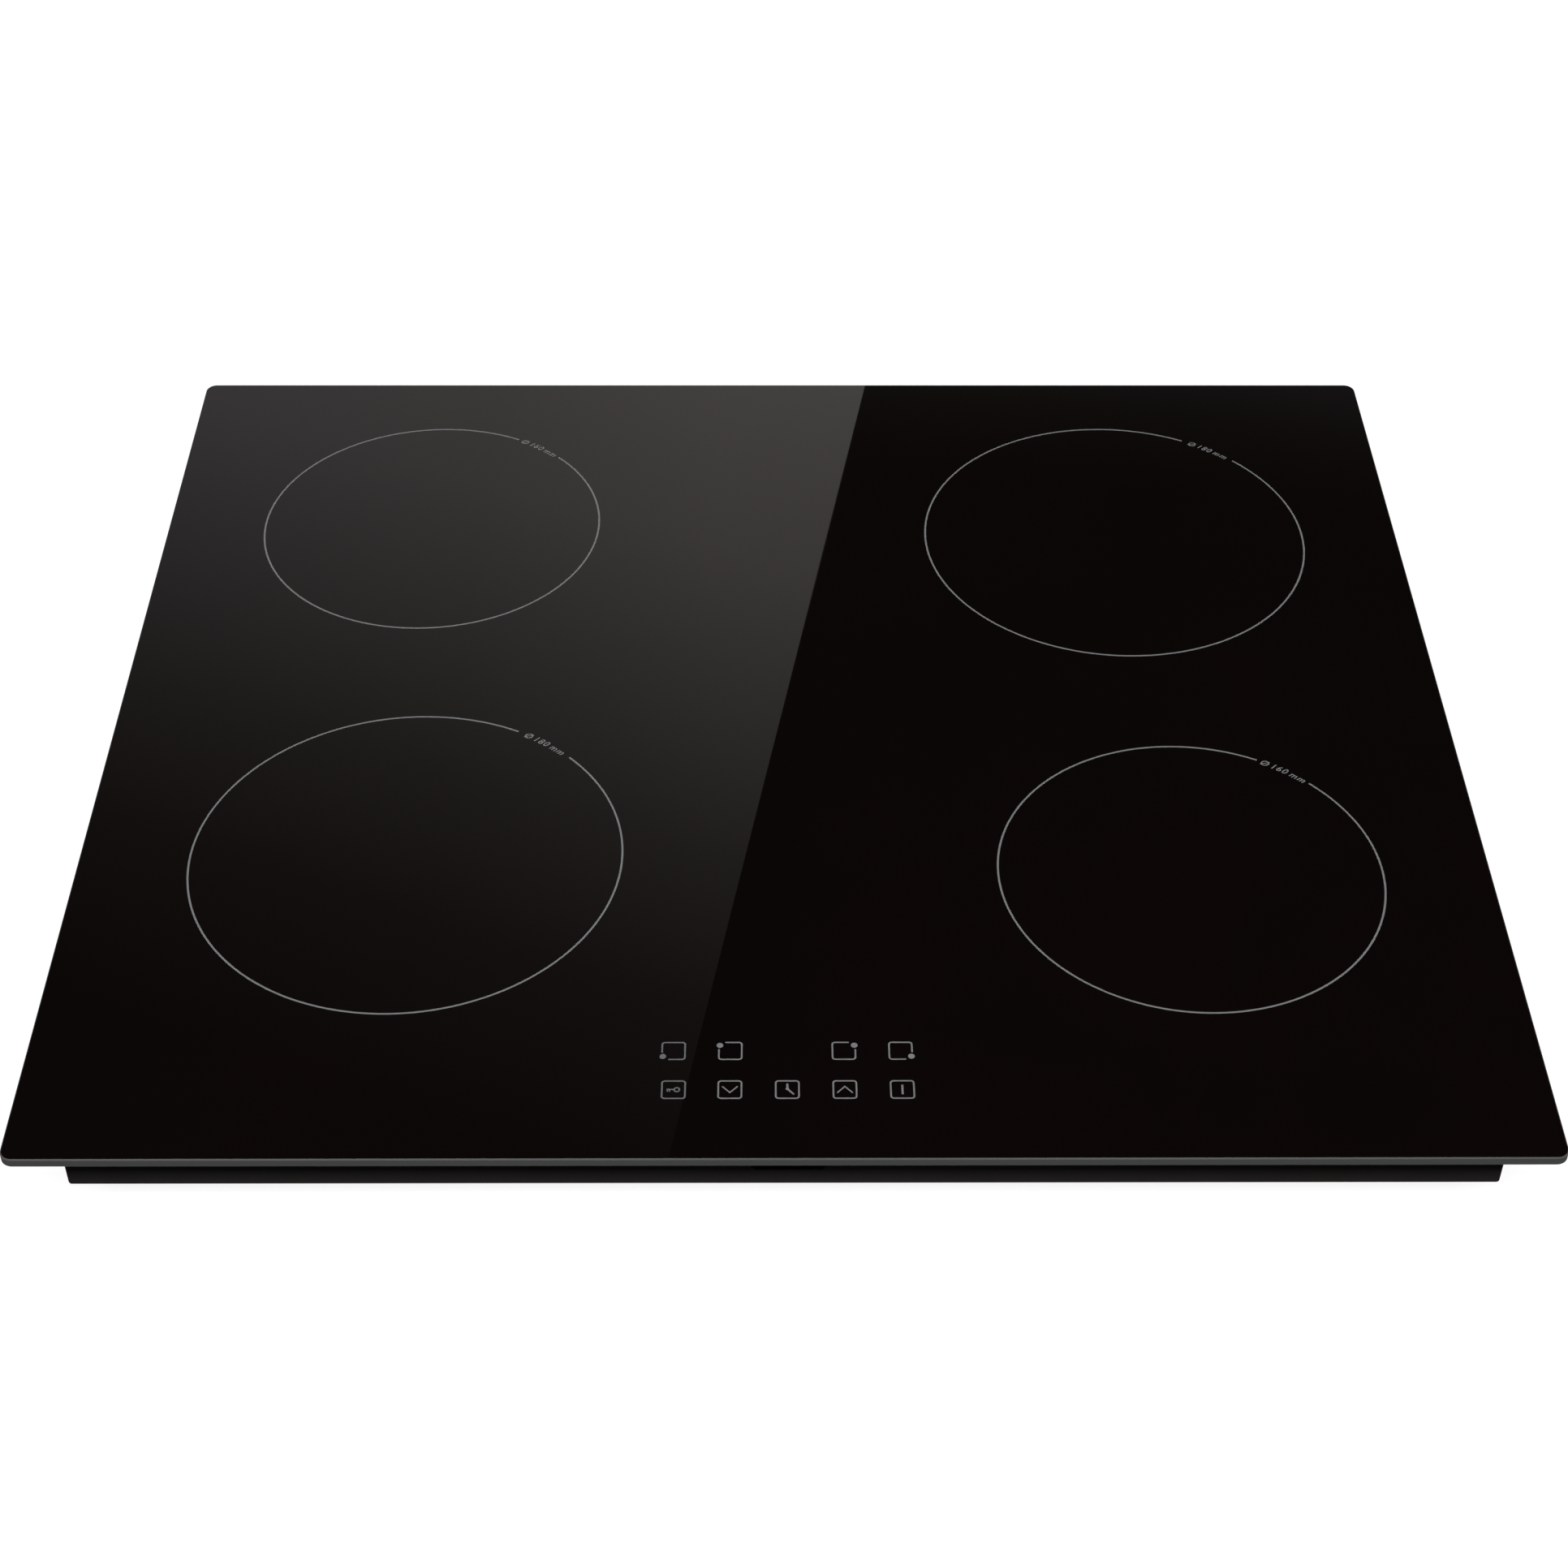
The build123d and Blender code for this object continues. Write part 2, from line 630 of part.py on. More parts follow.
def coil_winding(zone):
    edges = spiral_edges(zone)
    start = edges[0] @ 0
    section = Plane(start, z_dir=(0, 1, 0)) * Circle(WIRE_DIAMETER / 2)
    tube_along = sweep(section, path=Wire([e.edge() for e in edges]))
    level = Z_FORMER_TOP + WINDING_PLAY + WIRE_DIAMETER / 2
    return zone.at(level) * tube_along


def least_turn_gap(zone):
    """Least gap between neighbouring turns of the winding, measured on points of its line."""
    points = []
    for edge in spiral_edges(zone):
        count = max(2, int(edge.length / GAP_SAMPLE_STEP))
        points += [(edge @ (i / count)) for i in range(count)]
    run = [0.0]
    for a, b in zip(points, points[1:]):
        run.append(run[-1] + (b - a).length)
    gaps = []
    for i, a in enumerate(points):
        for j in range(i + 1, len(points)):
            if run[j] - run[i] > 4 * WINDING_PITCH:
                gaps.append(hypot(a.X - points[j].X, a.Y - points[j].Y))
    return min(gaps) - WIRE_DIAMETER


def pocket_span(zone):
    """Inner and outer radius of the ferrite pockets."""
    return COIL_CORE_RADIUS, zone.former_radius - POCKET_END_INSET


def coil_former(zone):
    hub_bore = SENSOR_RADIUS + SENSOR_PLAY
    base = disc(0, 0, Z_FORMER_BASE, Z_FORMER_TOP, zone.former_radius)
    rim_top = Z_FORMER_TOP + FORMER_RIM_HEIGHT
    rim_inner = zone.former_radius - FORMER_RIM_WIDTH
    base += tube(0, 0, Z_FORMER_TOP, rim_top, zone.former_radius, rim_inner)
    base += disc(0, 0, Z_FORMER_TOP, rim_top, hub_bore + FORMER_HUB_WIDTH)
    inner, outer = pocket_span(zone)
    half = FERRITE_WIDTH / 2 + FERRITE_PLAY
    wall = half + POCKET_WALL
    pocket = block((inner, outer), (-wall, wall), (Z_POCKET_BOTTOM, Z_FORMER_BASE))
    slot_x = (inner + POCKET_WALL, outer - POCKET_WALL)
    slot = block(slot_x, (-half, half), (Z_POCKET_BOTTOM, Z_FORMER_BASE))
    window_arc = CenterArc((0, 0), (inner + outer) / 2, -WINDOW_ANGLE / 2, WINDOW_ANGLE)
    window_face = SlotArc(window_arc, FERRITE_WIDTH)
    window = Pos(0, 0, Z_FORMER_BASE) * extrude(window_face, FORMER_BASE)
    pockets, slots, windows = [], [], []
    for step in range(FERRITE_COUNT):
        turn = Rot(0, 0, step * 360 / FERRITE_COUNT)
        pockets.append(turn * pocket)
        slots.append(turn * slot)
        windows.append(Rot(0, 0, 180 / FERRITE_COUNT) * turn * window)
    lead_block = block(
        (zone.former_radius - FORMER_RIM_WIDTH, zone.former_radius + LEAD_BLOCK_LENGTH),
        (-LEAD_BLOCK_WIDTH / 2, LEAD_BLOCK_WIDTH / 2),
        (Z_POCKET_BOTTOM, Z_FORMER_TOP),
    )
    body = base + pockets + Rot(0, 0, zone.block_angle) * lead_block
    body = body - slots - windows - disc(0, 0, Z_POCKET_BOTTOM, rim_top, hub_bore)
    return zone.at() * body


def ferrite_bars():
    bars = []
    for zone in ZONES:
        inner, outer = pocket_span(zone)
        ends = (inner + POCKET_WALL + FERRITE_PLAY, outer - POCKET_WALL - FERRITE_PLAY)
        half = FERRITE_WIDTH / 2
        bar = block(ends, (-half, half), (Z_POCKET_BOTTOM, Z_FORMER_BASE))
        for step in range(FERRITE_COUNT):
            bars.append(zone.at() * Rot(0, 0, step * 360 / FERRITE_COUNT) * bar)
    return bars


def insulation_disc(zone):
    outer = zone.former_radius - FORMER_RIM_WIDTH
    hole = SENSOR_RADIUS + SENSOR_PLAY
    return zone.at() * tube(0, 0, Z_WINDING_TOP, Z_GLASS, outer, hole)


def temperature_sensors():
    """A sensor in the middle of each coil, clipped under its former and touching the glass."""
    stem_top = Z_GLASS - SENSOR_CAP_HEIGHT
    body = disc(0, 0, Z_FORMER_BASE, stem_top, SENSOR_RADIUS)
    body += disc(0, 0, stem_top, Z_GLASS, SENSOR_CAP_RADIUS)
    flange_low = Z_FORMER_BASE - SENSOR_FLANGE_THICKNESS
    body += disc(0, 0, flange_low, Z_FORMER_BASE, SENSOR_FLANGE_RADIUS)
    return [zone.at() * body for zone in ZONES]


def coil_springs():
    """Bowed strips between the carriers and the pockets, which press the coils to the glass."""
    low = Z_CARRIER_TOP + SPRING_PLAY
    rise = SPRING_RISE - 2 * SPRING_PLAY - SPRING_STRIP
    half = SPRING_SPAN / 2
    under = ThreePointArc((-half, low), (0, low + rise), (half, low))
    high = low + SPRING_STRIP
    over = ThreePointArc((half, high), (0, high + rise), (-half, high))
    ends = [Line(under @ 1, over @ 0), Line(over @ 1, under @ 0)]
    strip_face = make_face([under.edge(), ends[0].edge(), over.edge(), ends[1].edge()])
    strip = extrude(Plane.XZ * strip_face, SPRING_WIDTH / 2, both=True)
    springs = []
    for zone in ZONES:
        inner, outer = pocket_span(zone)
        for step in range(SPRINGS_PER_COIL):
            turn = Rot(0, 0, step * 360 / SPRINGS_PER_COIL)
            springs.append(zone.at() * turn * Pos((inner + outer) / 2, 0, 0) * strip)
    return springs


def coil_leads():
    low, high = Z_BOARD_TOP + LUG_HEIGHT, Z_POCKET_BOTTOM
    return [disc(x, y, low, high, LEAD_RADIUS) for zone in ZONES for x, y in zone.lead_points()]


def lead_terminals():
    size = (LUG_SIZE, LUG_SIZE, LUG_HEIGHT)
    points = [p for zone in ZONES for p in zone.lead_points()]
    return [standing_box(size, x, y, Z_BOARD_TOP) for x, y in points]


# Carriers and posts


def carrier_rear_y():
    return INNER_Y - CARRIER_REAR_GAP


def carrier_front_y():
    return -INNER_Y + CARRIER_FRONT_GAP


def post_points(side):
    xs = (CARRIER_INNER_X + POST_INSET, CARRIER_OUTER_X - POST_INSET)
    ys = (POST_FRONT_Y, carrier_rear_y() - POST_INSET)
    return [(side * x, y) for x in xs for y in ys]


def coil_carrier(side):
    xs = sorted((side * CARRIER_INNER_X, side * CARRIER_OUTER_X))
    ys = (carrier_front_y(), carrier_rear_y())
    plate = block(xs, ys, (Z_CARRIER, Z_CARRIER_TOP))
    plate = fillet(plate.edges().filter_by(Axis.Z), CARRIER_CORNER_RADIUS)
    level = (Z_CARRIER, Z_CARRIER_TOP)
    cuts = [disc(x, y, *level, SCREW_HOLE_RADIUS) for x, y in post_points(side)]
    for zone in ZONES:
        if zone.side == side:
            cuts.append(disc(zone.x, zone.y, *level, CARRIER_WINDOW_RADIUS))
            cuts += [disc(x, y, *level, LEAD_HOLE_RADIUS) for x, y in zone.lead_points()]
    return plate - cuts


def carrier_posts():
    posts = []
    for side in SIDES.values():
        for x, y in post_points(side):
            post = disc(x, y, Z_FLOOR, Z_CARRIER, POST_RADIUS)
            posts.append(post - disc(x, y, Z_CARRIER - SCREW_LENGTH, Z_CARRIER, SCREW_HOLE_RADIUS))
    return posts


def blower_screw_points():
    return [(sign * x, y) for sign in SIDES.values() for x, y in blower_ear_points()]


def chassis_screws():
    """Screws that hold the carriers to their posts and the blowers to the tray."""
    places = [(x, y, Z_CARRIER_TOP) for side in SIDES.values() for x, y in post_points(side)]
    ear_top = Z_FLOOR + BLOWER_EAR_THICKNESS
    fitted = [Pos(*place) * screw() for place in places]
    tail = disc(0, 0, -SCREW_LENGTH, -ear_top, SCREW_RADIUS)
    short = screw() - tail
    fitted += [Pos(x, y, ear_top) * short for x, y in blower_screw_points()]
    return fitted


# Power boards with what they carry


def spacer_points(side):
    xs = (BOARD_INNER_X + SPACER_INSET, BOARD_OUTER_X - SPACER_INSET)
    ys = (BOARD_FRONT_Y + SPACER_INSET, BOARD_REAR_Y - SPACER_INSET)
    return [(side * x, y) for x in xs for y in ys]


def filter_spacer_points():
    x = FILTER_BOARD_HALF_WIDTH - SPACER_INSET
    ys = (BOARD_FRONT_Y + SPACER_INSET, FILTER_BOARD_REAR_Y - SPACER_INSET)
    return [(sign * x, y) for sign in (-1, 1) for y in ys]


def board_with_holes(xs, ys, points):
    level = (Z_BOARD, Z_BOARD_TOP)
    return block(xs, ys, level) - [disc(x, y, *level, SPACER_HOLE_RADIUS) for x, y in points]


def power_board(side):
    xs = sorted((side * BOARD_INNER_X, side * BOARD_OUTER_X))
    return board_with_holes(xs, (BOARD_FRONT_Y, BOARD_REAR_Y), spacer_points(side))


def filter_board():
    xs = (-FILTER_BOARD_HALF_WIDTH, FILTER_BOARD_HALF_WIDTH)
    return board_with_holes(xs, (BOARD_FRONT_Y, FILTER_BOARD_REAR_Y), filter_spacer_points())


def board_spacers():
    points = spacer_points(-1) + spacer_points(1) + filter_spacer_points()
    pin_top = Z_BOARD_TOP + SPACER_PIN_HEIGHT
    spacers = []
    for x, y in points:
        foot = disc(x, y, Z_FLOOR, Z_BOARD, SPACER_RADIUS)
        spacers.append(foot + disc(x, y, Z_BOARD, pin_top, SPACER_PIN_RADIUS))
    return spacers


def sink_x():
    """Middle of the heat sink, in line with the middle of the blower's outlet."""
    left, right = scroll_outlet()
    return BLOWER_X - (left + right) / 2


def sink_rear_y():
    return BLOWER_Y - BLOWER_OUTLET_REACH - SINK_BLOWER_GAP


def heat_sink(side):
    profile = Pos(0, SINK_BASE / 2) * Rectangle(SINK_WIDTH, SINK_BASE)
    pitch = (SINK_WIDTH - SINK_FIN_THICKNESS) / (SINK_FINS - 1)
    for fin in range(SINK_FINS):
        x = -SINK_WIDTH / 2 + SINK_FIN_THICKNESS / 2 + fin * pitch
        middle = SINK_BASE + SINK_FIN_HEIGHT / 2
        profile += Pos(x, middle) * Rectangle(SINK_FIN_THICKNESS, SINK_FIN_HEIGHT)
    bar = extrude(Plane.XZ * profile, SINK_LENGTH)
    return Pos(side * sink_x(), sink_rear_y(), Z_BOARD_TOP + TRANSISTOR[2]) * bar


def power_transistors():
    middle_y = sink_rear_y() - TRANSISTORS_FROM_REAR
    bodies = []
    for side in SIDES.values():
        for sx in (-0.5, 0.5):
            for sy in (-0.5, 0.5):
                x = side * sink_x() + sx * TRANSISTOR_SPACING_X
                y = middle_y + sy * TRANSISTOR_SPACING_Y
                bodies.append(standing_box(TRANSISTOR, x, y, Z_BOARD_TOP))
    return bodies


def bridge_rectifiers():
    y = sink_rear_y() - SINK_LENGTH + RECTIFIER_FROM_FRONT
    return [standing_box(RECTIFIER, s * sink_x(), y, Z_BOARD_TOP) for s in SIDES.values()]


def capacitor(size, x, y):
    body = standing_box(size, x, y, Z_BOARD_TOP)
    return fillet(body.edges().group_by(Axis.Z)[-1], CAP_CORNER_RADIUS)


def film_capacitors():
    bodies = []
    for side in SIDES.values():
        row_x = side * (BOARD_OUTER_X - RESONANCE_CAP_EDGE_GAP - RESONANCE_CAP[0] / 2)
        for step in range(RESONANCE_CAPS_PER_BOARD):
            y = BOARD_REAR_Y - RESONANCE_CAP_REAR_GAP - RESONANCE_CAP_PITCH * step
            bodies.append(capacitor(RESONANCE_CAP, row_x, y))
        link_x = side * (BOARD_OUTER_X - LINK_CAP_EDGE_GAP - LINK_CAP[0] / 2)
        link_y = BOARD_FRONT_Y + LINK_CAP_EDGE_GAP + LINK_CAP[1] / 2 + SPACER_INSET
        bodies.append(capacitor(LINK_CAP, link_x, link_y))
    for sign in (-0.5, 0.5):
        bodies.append(capacitor(FILTER_CAP, sign * FILTER_CAP_SPACING, FILTER_CAP_Y))
    return bodies


def toroid(x, y):
    ring = tube(x, y, Z_BOARD_TOP, Z_BOARD_TOP + CHOKE_HEIGHT, CHOKE_RADIUS, CHOKE_BORE)
    return fillet(ring.edges().group_by(Axis.Z)[-1], CHOKE_EDGE_RADIUS)


def smoothing_chokes():
    y = BOARD_FRONT_Y + CHOKE_FROM_FRONT
    x = BOARD_INNER_X + CHOKE_FROM_FRONT
    return [toroid(side * x, y) for side in SIDES.values()]


def common_mode_choke():
    return toroid(0, COMMON_CHOKE_Y)


def mains_fuse():
    level = Z_BOARD_TOP + FUSE_CAP_RADIUS
    body = Cylinder(FUSE_RADIUS, FUSE_LENGTH, rotation=(90, 0, 0))
    for sign in (-0.5, 0.5):
        y = sign * (FUSE_LENGTH - FUSE_CAP_LENGTH)
        body += Pos(0, y, 0) * Cylinder(FUSE_CAP_RADIUS, FUSE_CAP_LENGTH, rotation=(90, 0, 0))
    return Pos(FUSE_X, FUSE_Y, level) * body


# Blowers, modelled for the left side about their own axis


def scroll_arcs():
    """Three quarter circles of growing radius, from the tongue round to the outlet wall."""
    radius = IMPELLER_RADIUS + BLOWER_SCROLL_GAP
    centre = Vector(0, 0)
    arcs = []
    for quarter in range(3):
        start = 270 + 90 * quarter
        arcs.append(CenterArc(centre, radius, start, 90))
        angle = radians(start + 90)
        centre = centre - Vector(cos(angle), sin(angle)) * BLOWER_SCROLL_STEP
        radius += BLOWER_SCROLL_STEP
    return arcs


def scroll_outlet():
    """Left and right edge of the outlet, from the blower's axis."""
    arcs = scroll_arcs()
    return (arcs[-1] @ 1).X, (arcs[0] @ 0).X


def scroll_face():
    arcs = scroll_arcs()
    left, right = scroll_outlet()
    mouth = -BLOWER_OUTLET_REACH
    walls = [
        Line(arcs[-1] @ 1, (left, mouth)),
        Line((left, mouth), (right, mouth)),
        Line((right, mouth), arcs[0] @ 0),
    ]
    return make_face([piece.edge() for piece in arcs + walls])


def scroll_outline():
    """The scroll with its wall, cut square at the outlet."""
    grown = offset(scroll_face(), BLOWER_WALL, kind=Kind.INTERSECTION)
    beyond = Rectangle(4 * IMPELLER_RADIUS, 2 * BLOWER_WALL)
    return grown - Pos(0, -BLOWER_OUTLET_REACH - BLOWER_WALL) * beyond


def blower_ear_points():
    """Places of the screw ears on the left blower, in front of and behind its axis."""
    wall_radius = IMPELLER_RADIUS + BLOWER_SCROLL_GAP + BLOWER_WALL
    corner = wall_radius * sin(pi / 4) + BLOWER_EAR / 2 - BLOWER_EAR_BITE
    return [(BLOWER_X - corner, BLOWER_Y - corner), (BLOWER_X - corner, BLOWER_Y + corner)]


def blower_casing(side):
    low = Z_FLOOR + BLOWER_WALL
    top_low = Z_BLOWER_TOP - BLOWER_WALL
    wall_face = scroll_outline() - scroll_face()
    walls = Pos(0, 0, low) * extrude(wall_face, top_low - low)
    roof = Pos(0, 0, top_low) * extrude(scroll_outline(), BLOWER_WALL)
    tube_low = impeller_floor() + HUB_FLOOR + BEARING_TUBE_LIFT
    bearing = tube(0, 0, tube_low, top_low, BEARING_TUBE_RADIUS, SHAFT_RADIUS + SHAFT_RUNNING_GAP)
    body = walls + roof + bearing
    for x, y in blower_ear_points():
        ear = standing_box(
            (BLOWER_EAR, BLOWER_EAR, BLOWER_EAR_THICKNESS), BLOWER_X - x, y - BLOWER_Y, Z_FLOOR
        )
        hole = disc(
            BLOWER_X - x, y - BLOWER_Y, Z_FLOOR, Z_FLOOR + BLOWER_EAR_THICKNESS, SCREW_HOLE_RADIUS
        )
        inside = Pos(0, 0, Z_FLOOR) * extrude(scroll_outline(), low - Z_FLOOR)
        inside += Pos(0, 0, low) * extrude(scroll_face(), BLOWER_EAR_THICKNESS)
        body += ear - inside - hole
    return mirrored(Pos(-BLOWER_X, BLOWER_Y, 0) * body, side)


def blower_cover(side):
    plate = Pos(0, 0, Z_FLOOR) * extrude(scroll_outline(), BLOWER_WALL)
    plate -= disc(0, 0, Z_FLOOR, Z_FLOOR + BLOWER_WALL, BLOWER_INTAKE_RADIUS)
    return mirrored(Pos(-BLOWER_X, BLOWER_Y, 0) * plate, side)


def impeller_low():
    return Z_FLOOR + BLOWER_WALL + IMPELLER_CLEARANCE


def impeller_high():
    return Z_BLOWER_TOP - BLOWER_WALL - IMPELLER_CLEARANCE


def impeller_floor():
    """Underside of the hub's floor."""
    return Z_FLOOR + BLOWER_WALL + HUB_FLOOR_LIFT


def blower_impeller(side):
    low, high = impeller_low(), impeller_high()
    floor = impeller_floor()
    hub = tube(0, 0, floor, high, HUB_RADIUS, HUB_RADIUS - HUB_WALL)
    hub += tube(0, 0, floor, floor + HUB_FLOOR, HUB_RADIUS, SHAFT_RADIUS)
    hub += tube(0, 0, high - IMPELLER_PLATE, high, IMPELLER_RADIUS, HUB_RADIUS - HUB_WALL)
    hub += tube(
        0, 0, low, low + IMPELLER_PLATE, IMPELLER_RADIUS, IMPELLER_RADIUS - IMPELLER_RING_WIDTH
    )
    tip = radians(BLADE_SWEEP_ANGLE)
    outer = IMPELLER_RADIUS - BLADE_THICKNESS
    middle = (IMPELLER_BLADE_INNER + outer) / 2
    half_tip = tip / 2
    line = ThreePointArc(
        (IMPELLER_BLADE_INNER, 0),
        (middle * cos(half_tip) + BLADE_CROWN * sin(half_tip), middle * sin(half_tip) - BLADE_CROWN),
        (outer * cos(tip), outer * sin(tip)),
    )
    blade = Pos(0, 0, low) * extrude(trace(line, BLADE_THICKNESS), high - low)
    blades = [Rot(0, 0, step * 360 / BLADE_COUNT) * blade for step in range(BLADE_COUNT)]
    return mirrored(Pos(-BLOWER_X, BLOWER_Y, 0) * (hub + blades), side)


def blower_shaft(side):
    high = Z_BLOWER_TOP - BLOWER_WALL - SHAFT_TOP_GAP
    return disc(side * BLOWER_X, BLOWER_Y, impeller_floor(), high, SHAFT_RADIUS)


def blower_stators():
    """Slotted motor cores on the bearing tubes, inside the hubs."""
    low = Z_BLOWER_TOP - BLOWER_WALL - STATOR_HEIGHT
    core = tube(0, 0, low, low + STATOR_HEIGHT, STATOR_RADIUS, BEARING_TUBE_RADIUS)
    reach = (STATOR_RADIUS - STATOR_SLOT_DEPTH, STATOR_RADIUS)
    half = STATOR_SLOT_WIDTH / 2
    slot = block(reach, (-half, half), (low, low + STATOR_HEIGHT))
    core -= [Rot(0, 0, step * 360 / STATOR_SLOTS) * slot for step in range(STATOR_SLOTS)]
    return [Pos(sign * BLOWER_X, BLOWER_Y, 0) * core for sign in SIDES.values()]


# Mains terminal box


def lid_span():
    """Left and right end of the lid, inside the box's left wall and its partition."""
    return -BOX_HALF_WIDTH + BOX_WALL + LID_GAP, PARTITION_X - LID_GAP


def cable_middle():
    """X and Z of the cable's bore, in the middle of the bay beside the partition."""
    left, right = PARTITION_X + BOX_WALL, BOX_HALF_WIDTH - BOX_WALL
    return (left + right) / 2, (BOX_BOTTOM + BOX_TOP) / 2


def along_y(x, z, y_low, y_high, radius):
    """A cylinder along Y."""
    length = y_high - y_low
    return Pos(x, (y_low + y_high) / 2, z) * Cylinder(radius, length, rotation=(90, 0, 0))


def terminal_box():
    half, wall = BOX_HALF_WIDTH, BOX_WALL
    body = block((-half, half), (BOX_FRONT_Y, BOX_MOUTH_Y), (BOX_BOTTOM, BOX_TOP))
    flange = block(
        (-half - BOX_FLANGE, half + BOX_FLANGE),
        (INNER_Y - wall, INNER_Y),
        (BOX_BOTTOM - BOX_FLANGE, BOX_TOP + BOX_FLANGE),
    )
    inner_z = (BOX_BOTTOM + wall, BOX_TOP - wall)
    wire_bay = block((-half + wall, PARTITION_X), (BOX_FRONT_Y + wall, BOX_MOUTH_Y), inner_z)
    cable_bay = block((PARTITION_X + wall, half - wall), (BOX_FRONT_Y + wall, BOX_MOUTH_Y - wall), inner_z)
    # The partition stops short of the front wall, so the cores pass from bay to bay.
    passage_end = BOX_MOUTH_Y - BOX_DEPTH / 2
    passage = block((PARTITION_X, PARTITION_X + wall), (BOX_FRONT_Y + wall, passage_end), inner_z)
    x, z = cable_middle()
    collar_y = BOX_MOUTH_Y - CABLE_BORE_LENGTH
    collar = along_y(x, z, collar_y, BOX_MOUTH_Y, CABLE_BORE_RADIUS + CABLE_COLLAR_WALL)
    bore = along_y(x, z, collar_y, BOX_MOUTH_Y, CABLE_BORE_RADIUS)
    body = body + flange - wire_bay - cable_bay - passage + collar - bore
    body -= [along_y(x, z, BOX_FRONT_Y, BOX_FRONT_Y + wall, r) for x, z, r in wire_hole_places()]
    pin_bore = Cylinder(LID_PIN_RADIUS + LID_PIN_CLEARANCE, 2 * half, rotation=(0, 90, 0))
    left, right = -half, PARTITION_X + wall
    pin_bores = Pos((left + right) / 2, LID_AXIS_Y, LID_AXIS_Z) * pin_bore
    keep = block((left, right), (BOX_FRONT_Y, BOX_MOUTH_Y), (BOX_BOTTOM, BOX_TOP))
    body -= pin_bores & keep
    saddle_top = z - CABLE_BORE_RADIUS - CLAMP_GAP
    for pillar_x in clamp_pillar_xs():
        low, high = BOX_BOTTOM + wall, z + CABLE_BORE_RADIUS + CLAMP_GAP
        pillar = disc(pillar_x, clamp_y(), low, high, CLAMP_PILLAR_RADIUS)
        body += pillar
    saddle = standing_box(
        (2 * CABLE_BORE_RADIUS, CLAMP_DEPTH, saddle_top - BOX_BOTTOM - wall), x, clamp_y(), BOX_BOTTOM + wall
    )
    return body + saddle


def clamp_y():
    return BOX_MOUTH_Y - CABLE_BORE_LENGTH - CLAMP_BEHIND_COLLAR - CLAMP_DEPTH / 2


def clamp_pillar_xs():
    x, _ = cable_middle()
    reach = CABLE_BORE_RADIUS + CLAMP_GAP + CLAMP_PILLAR_RADIUS
    return x - reach, x + reach


def cable_clamp():
    """Bar over the cable, on two pillars, with a shallow arch for the cable."""
    x, z = cable_middle()
    low = z + CABLE_BORE_RADIUS + CLAMP_GAP
    bar = standing_box((CLAMP_WIDTH, CLAMP_DEPTH, CLAMP_THICKNESS), x, clamp_y(), low)
    y_ends = (clamp_y() - CLAMP_DEPTH / 2, clamp_y() + CLAMP_DEPTH / 2)
    return bar - along_y(x, z, *y_ends, CABLE_BORE_RADIUS + 2 * CLAMP_GAP)


def terminal_lid():
    left, right = lid_span()
    low = BOX_BOTTOM + BOX_WALL + LID_GAP
    outer_y = LID_AXIS_Y + LID_BARREL_RADIUS
    plate = block((left, right), (outer_y - LID_THICKNESS, outer_y), (low, LID_AXIS_Z))
    barrel = Cylinder(LID_BARREL_RADIUS, right - left, rotation=(0, 90, 0))
    pins = Cylinder(LID_PIN_RADIUS, right - left + 2 * (LID_GAP + LID_PIN_LENGTH), rotation=(0, 90, 0))
    middle = (left + right) / 2
    body = plate + Pos(middle, LID_AXIS_Y, LID_AXIS_Z) * (barrel + pins)
    rib_y = (outer_y - LID_THICKNESS - LID_RIB_DEPTH, outer_y - LID_THICKNESS)
    for x in (left + LID_RIB_INSET, middle, right - LID_RIB_INSET):
        rib_x = (x - LID_THICKNESS / 2, x + LID_THICKNESS / 2)
        body += block(rib_x, rib_y, (low, LID_AXIS_Z - 2 * LID_BARREL_RADIUS))
    tab = block(
        (middle - LID_TAB_WIDTH / 2, middle + LID_TAB_WIDTH / 2),
        (outer_y, BOX_MOUTH_Y),
        (low, low + LID_TAB_HEIGHT),
    )
    return body + tab


def terminal_block_span():
    left, right = lid_span()
    middle = (left + right) / 2
    half = POLE_COUNT * POLE_PITCH / 2
    return middle - half, middle + half


def pole_xs():
    left, _ = terminal_block_span()
    return [left + POLE_PITCH * (pole + 0.5) for pole in range(POLE_COUNT)]


def terminal_block_ys():
    low = BOX_FRONT_Y + BOX_WALL + TERMINAL_BLOCK_BACK_GAP
    return low, low + TERMINAL_BLOCK_DEPTH


def terminal_level():
    return BOX_BOTTOM + BOX_WALL + TERMINAL_BLOCK_HEIGHT / 2


def terminal_block():
    low_y, high_y = terminal_block_ys()
    low = BOX_BOTTOM + BOX_WALL
    body = block(terminal_block_span(), (low_y, high_y), (low, low + TERMINAL_BLOCK_HEIGHT))
    cuts = []
    for x in pole_xs():
        recess_y = (high_y - TERMINAL_RECESS_DEPTH, high_y)
        cuts.append(along_y(x, terminal_level(), *recess_y, TERMINAL_RECESS_RADIUS))
    top = low + TERMINAL_BLOCK_HEIGHT
    for x in pole_xs()[1:]:
        edge = x - POLE_PITCH / 2
        gap = (edge - POLE_WALL / 2, edge + POLE_WALL / 2)
        cuts.append(block(gap, (low_y, high_y), (top - POLE_GAP_DEPTH, top)))
    return body - cuts


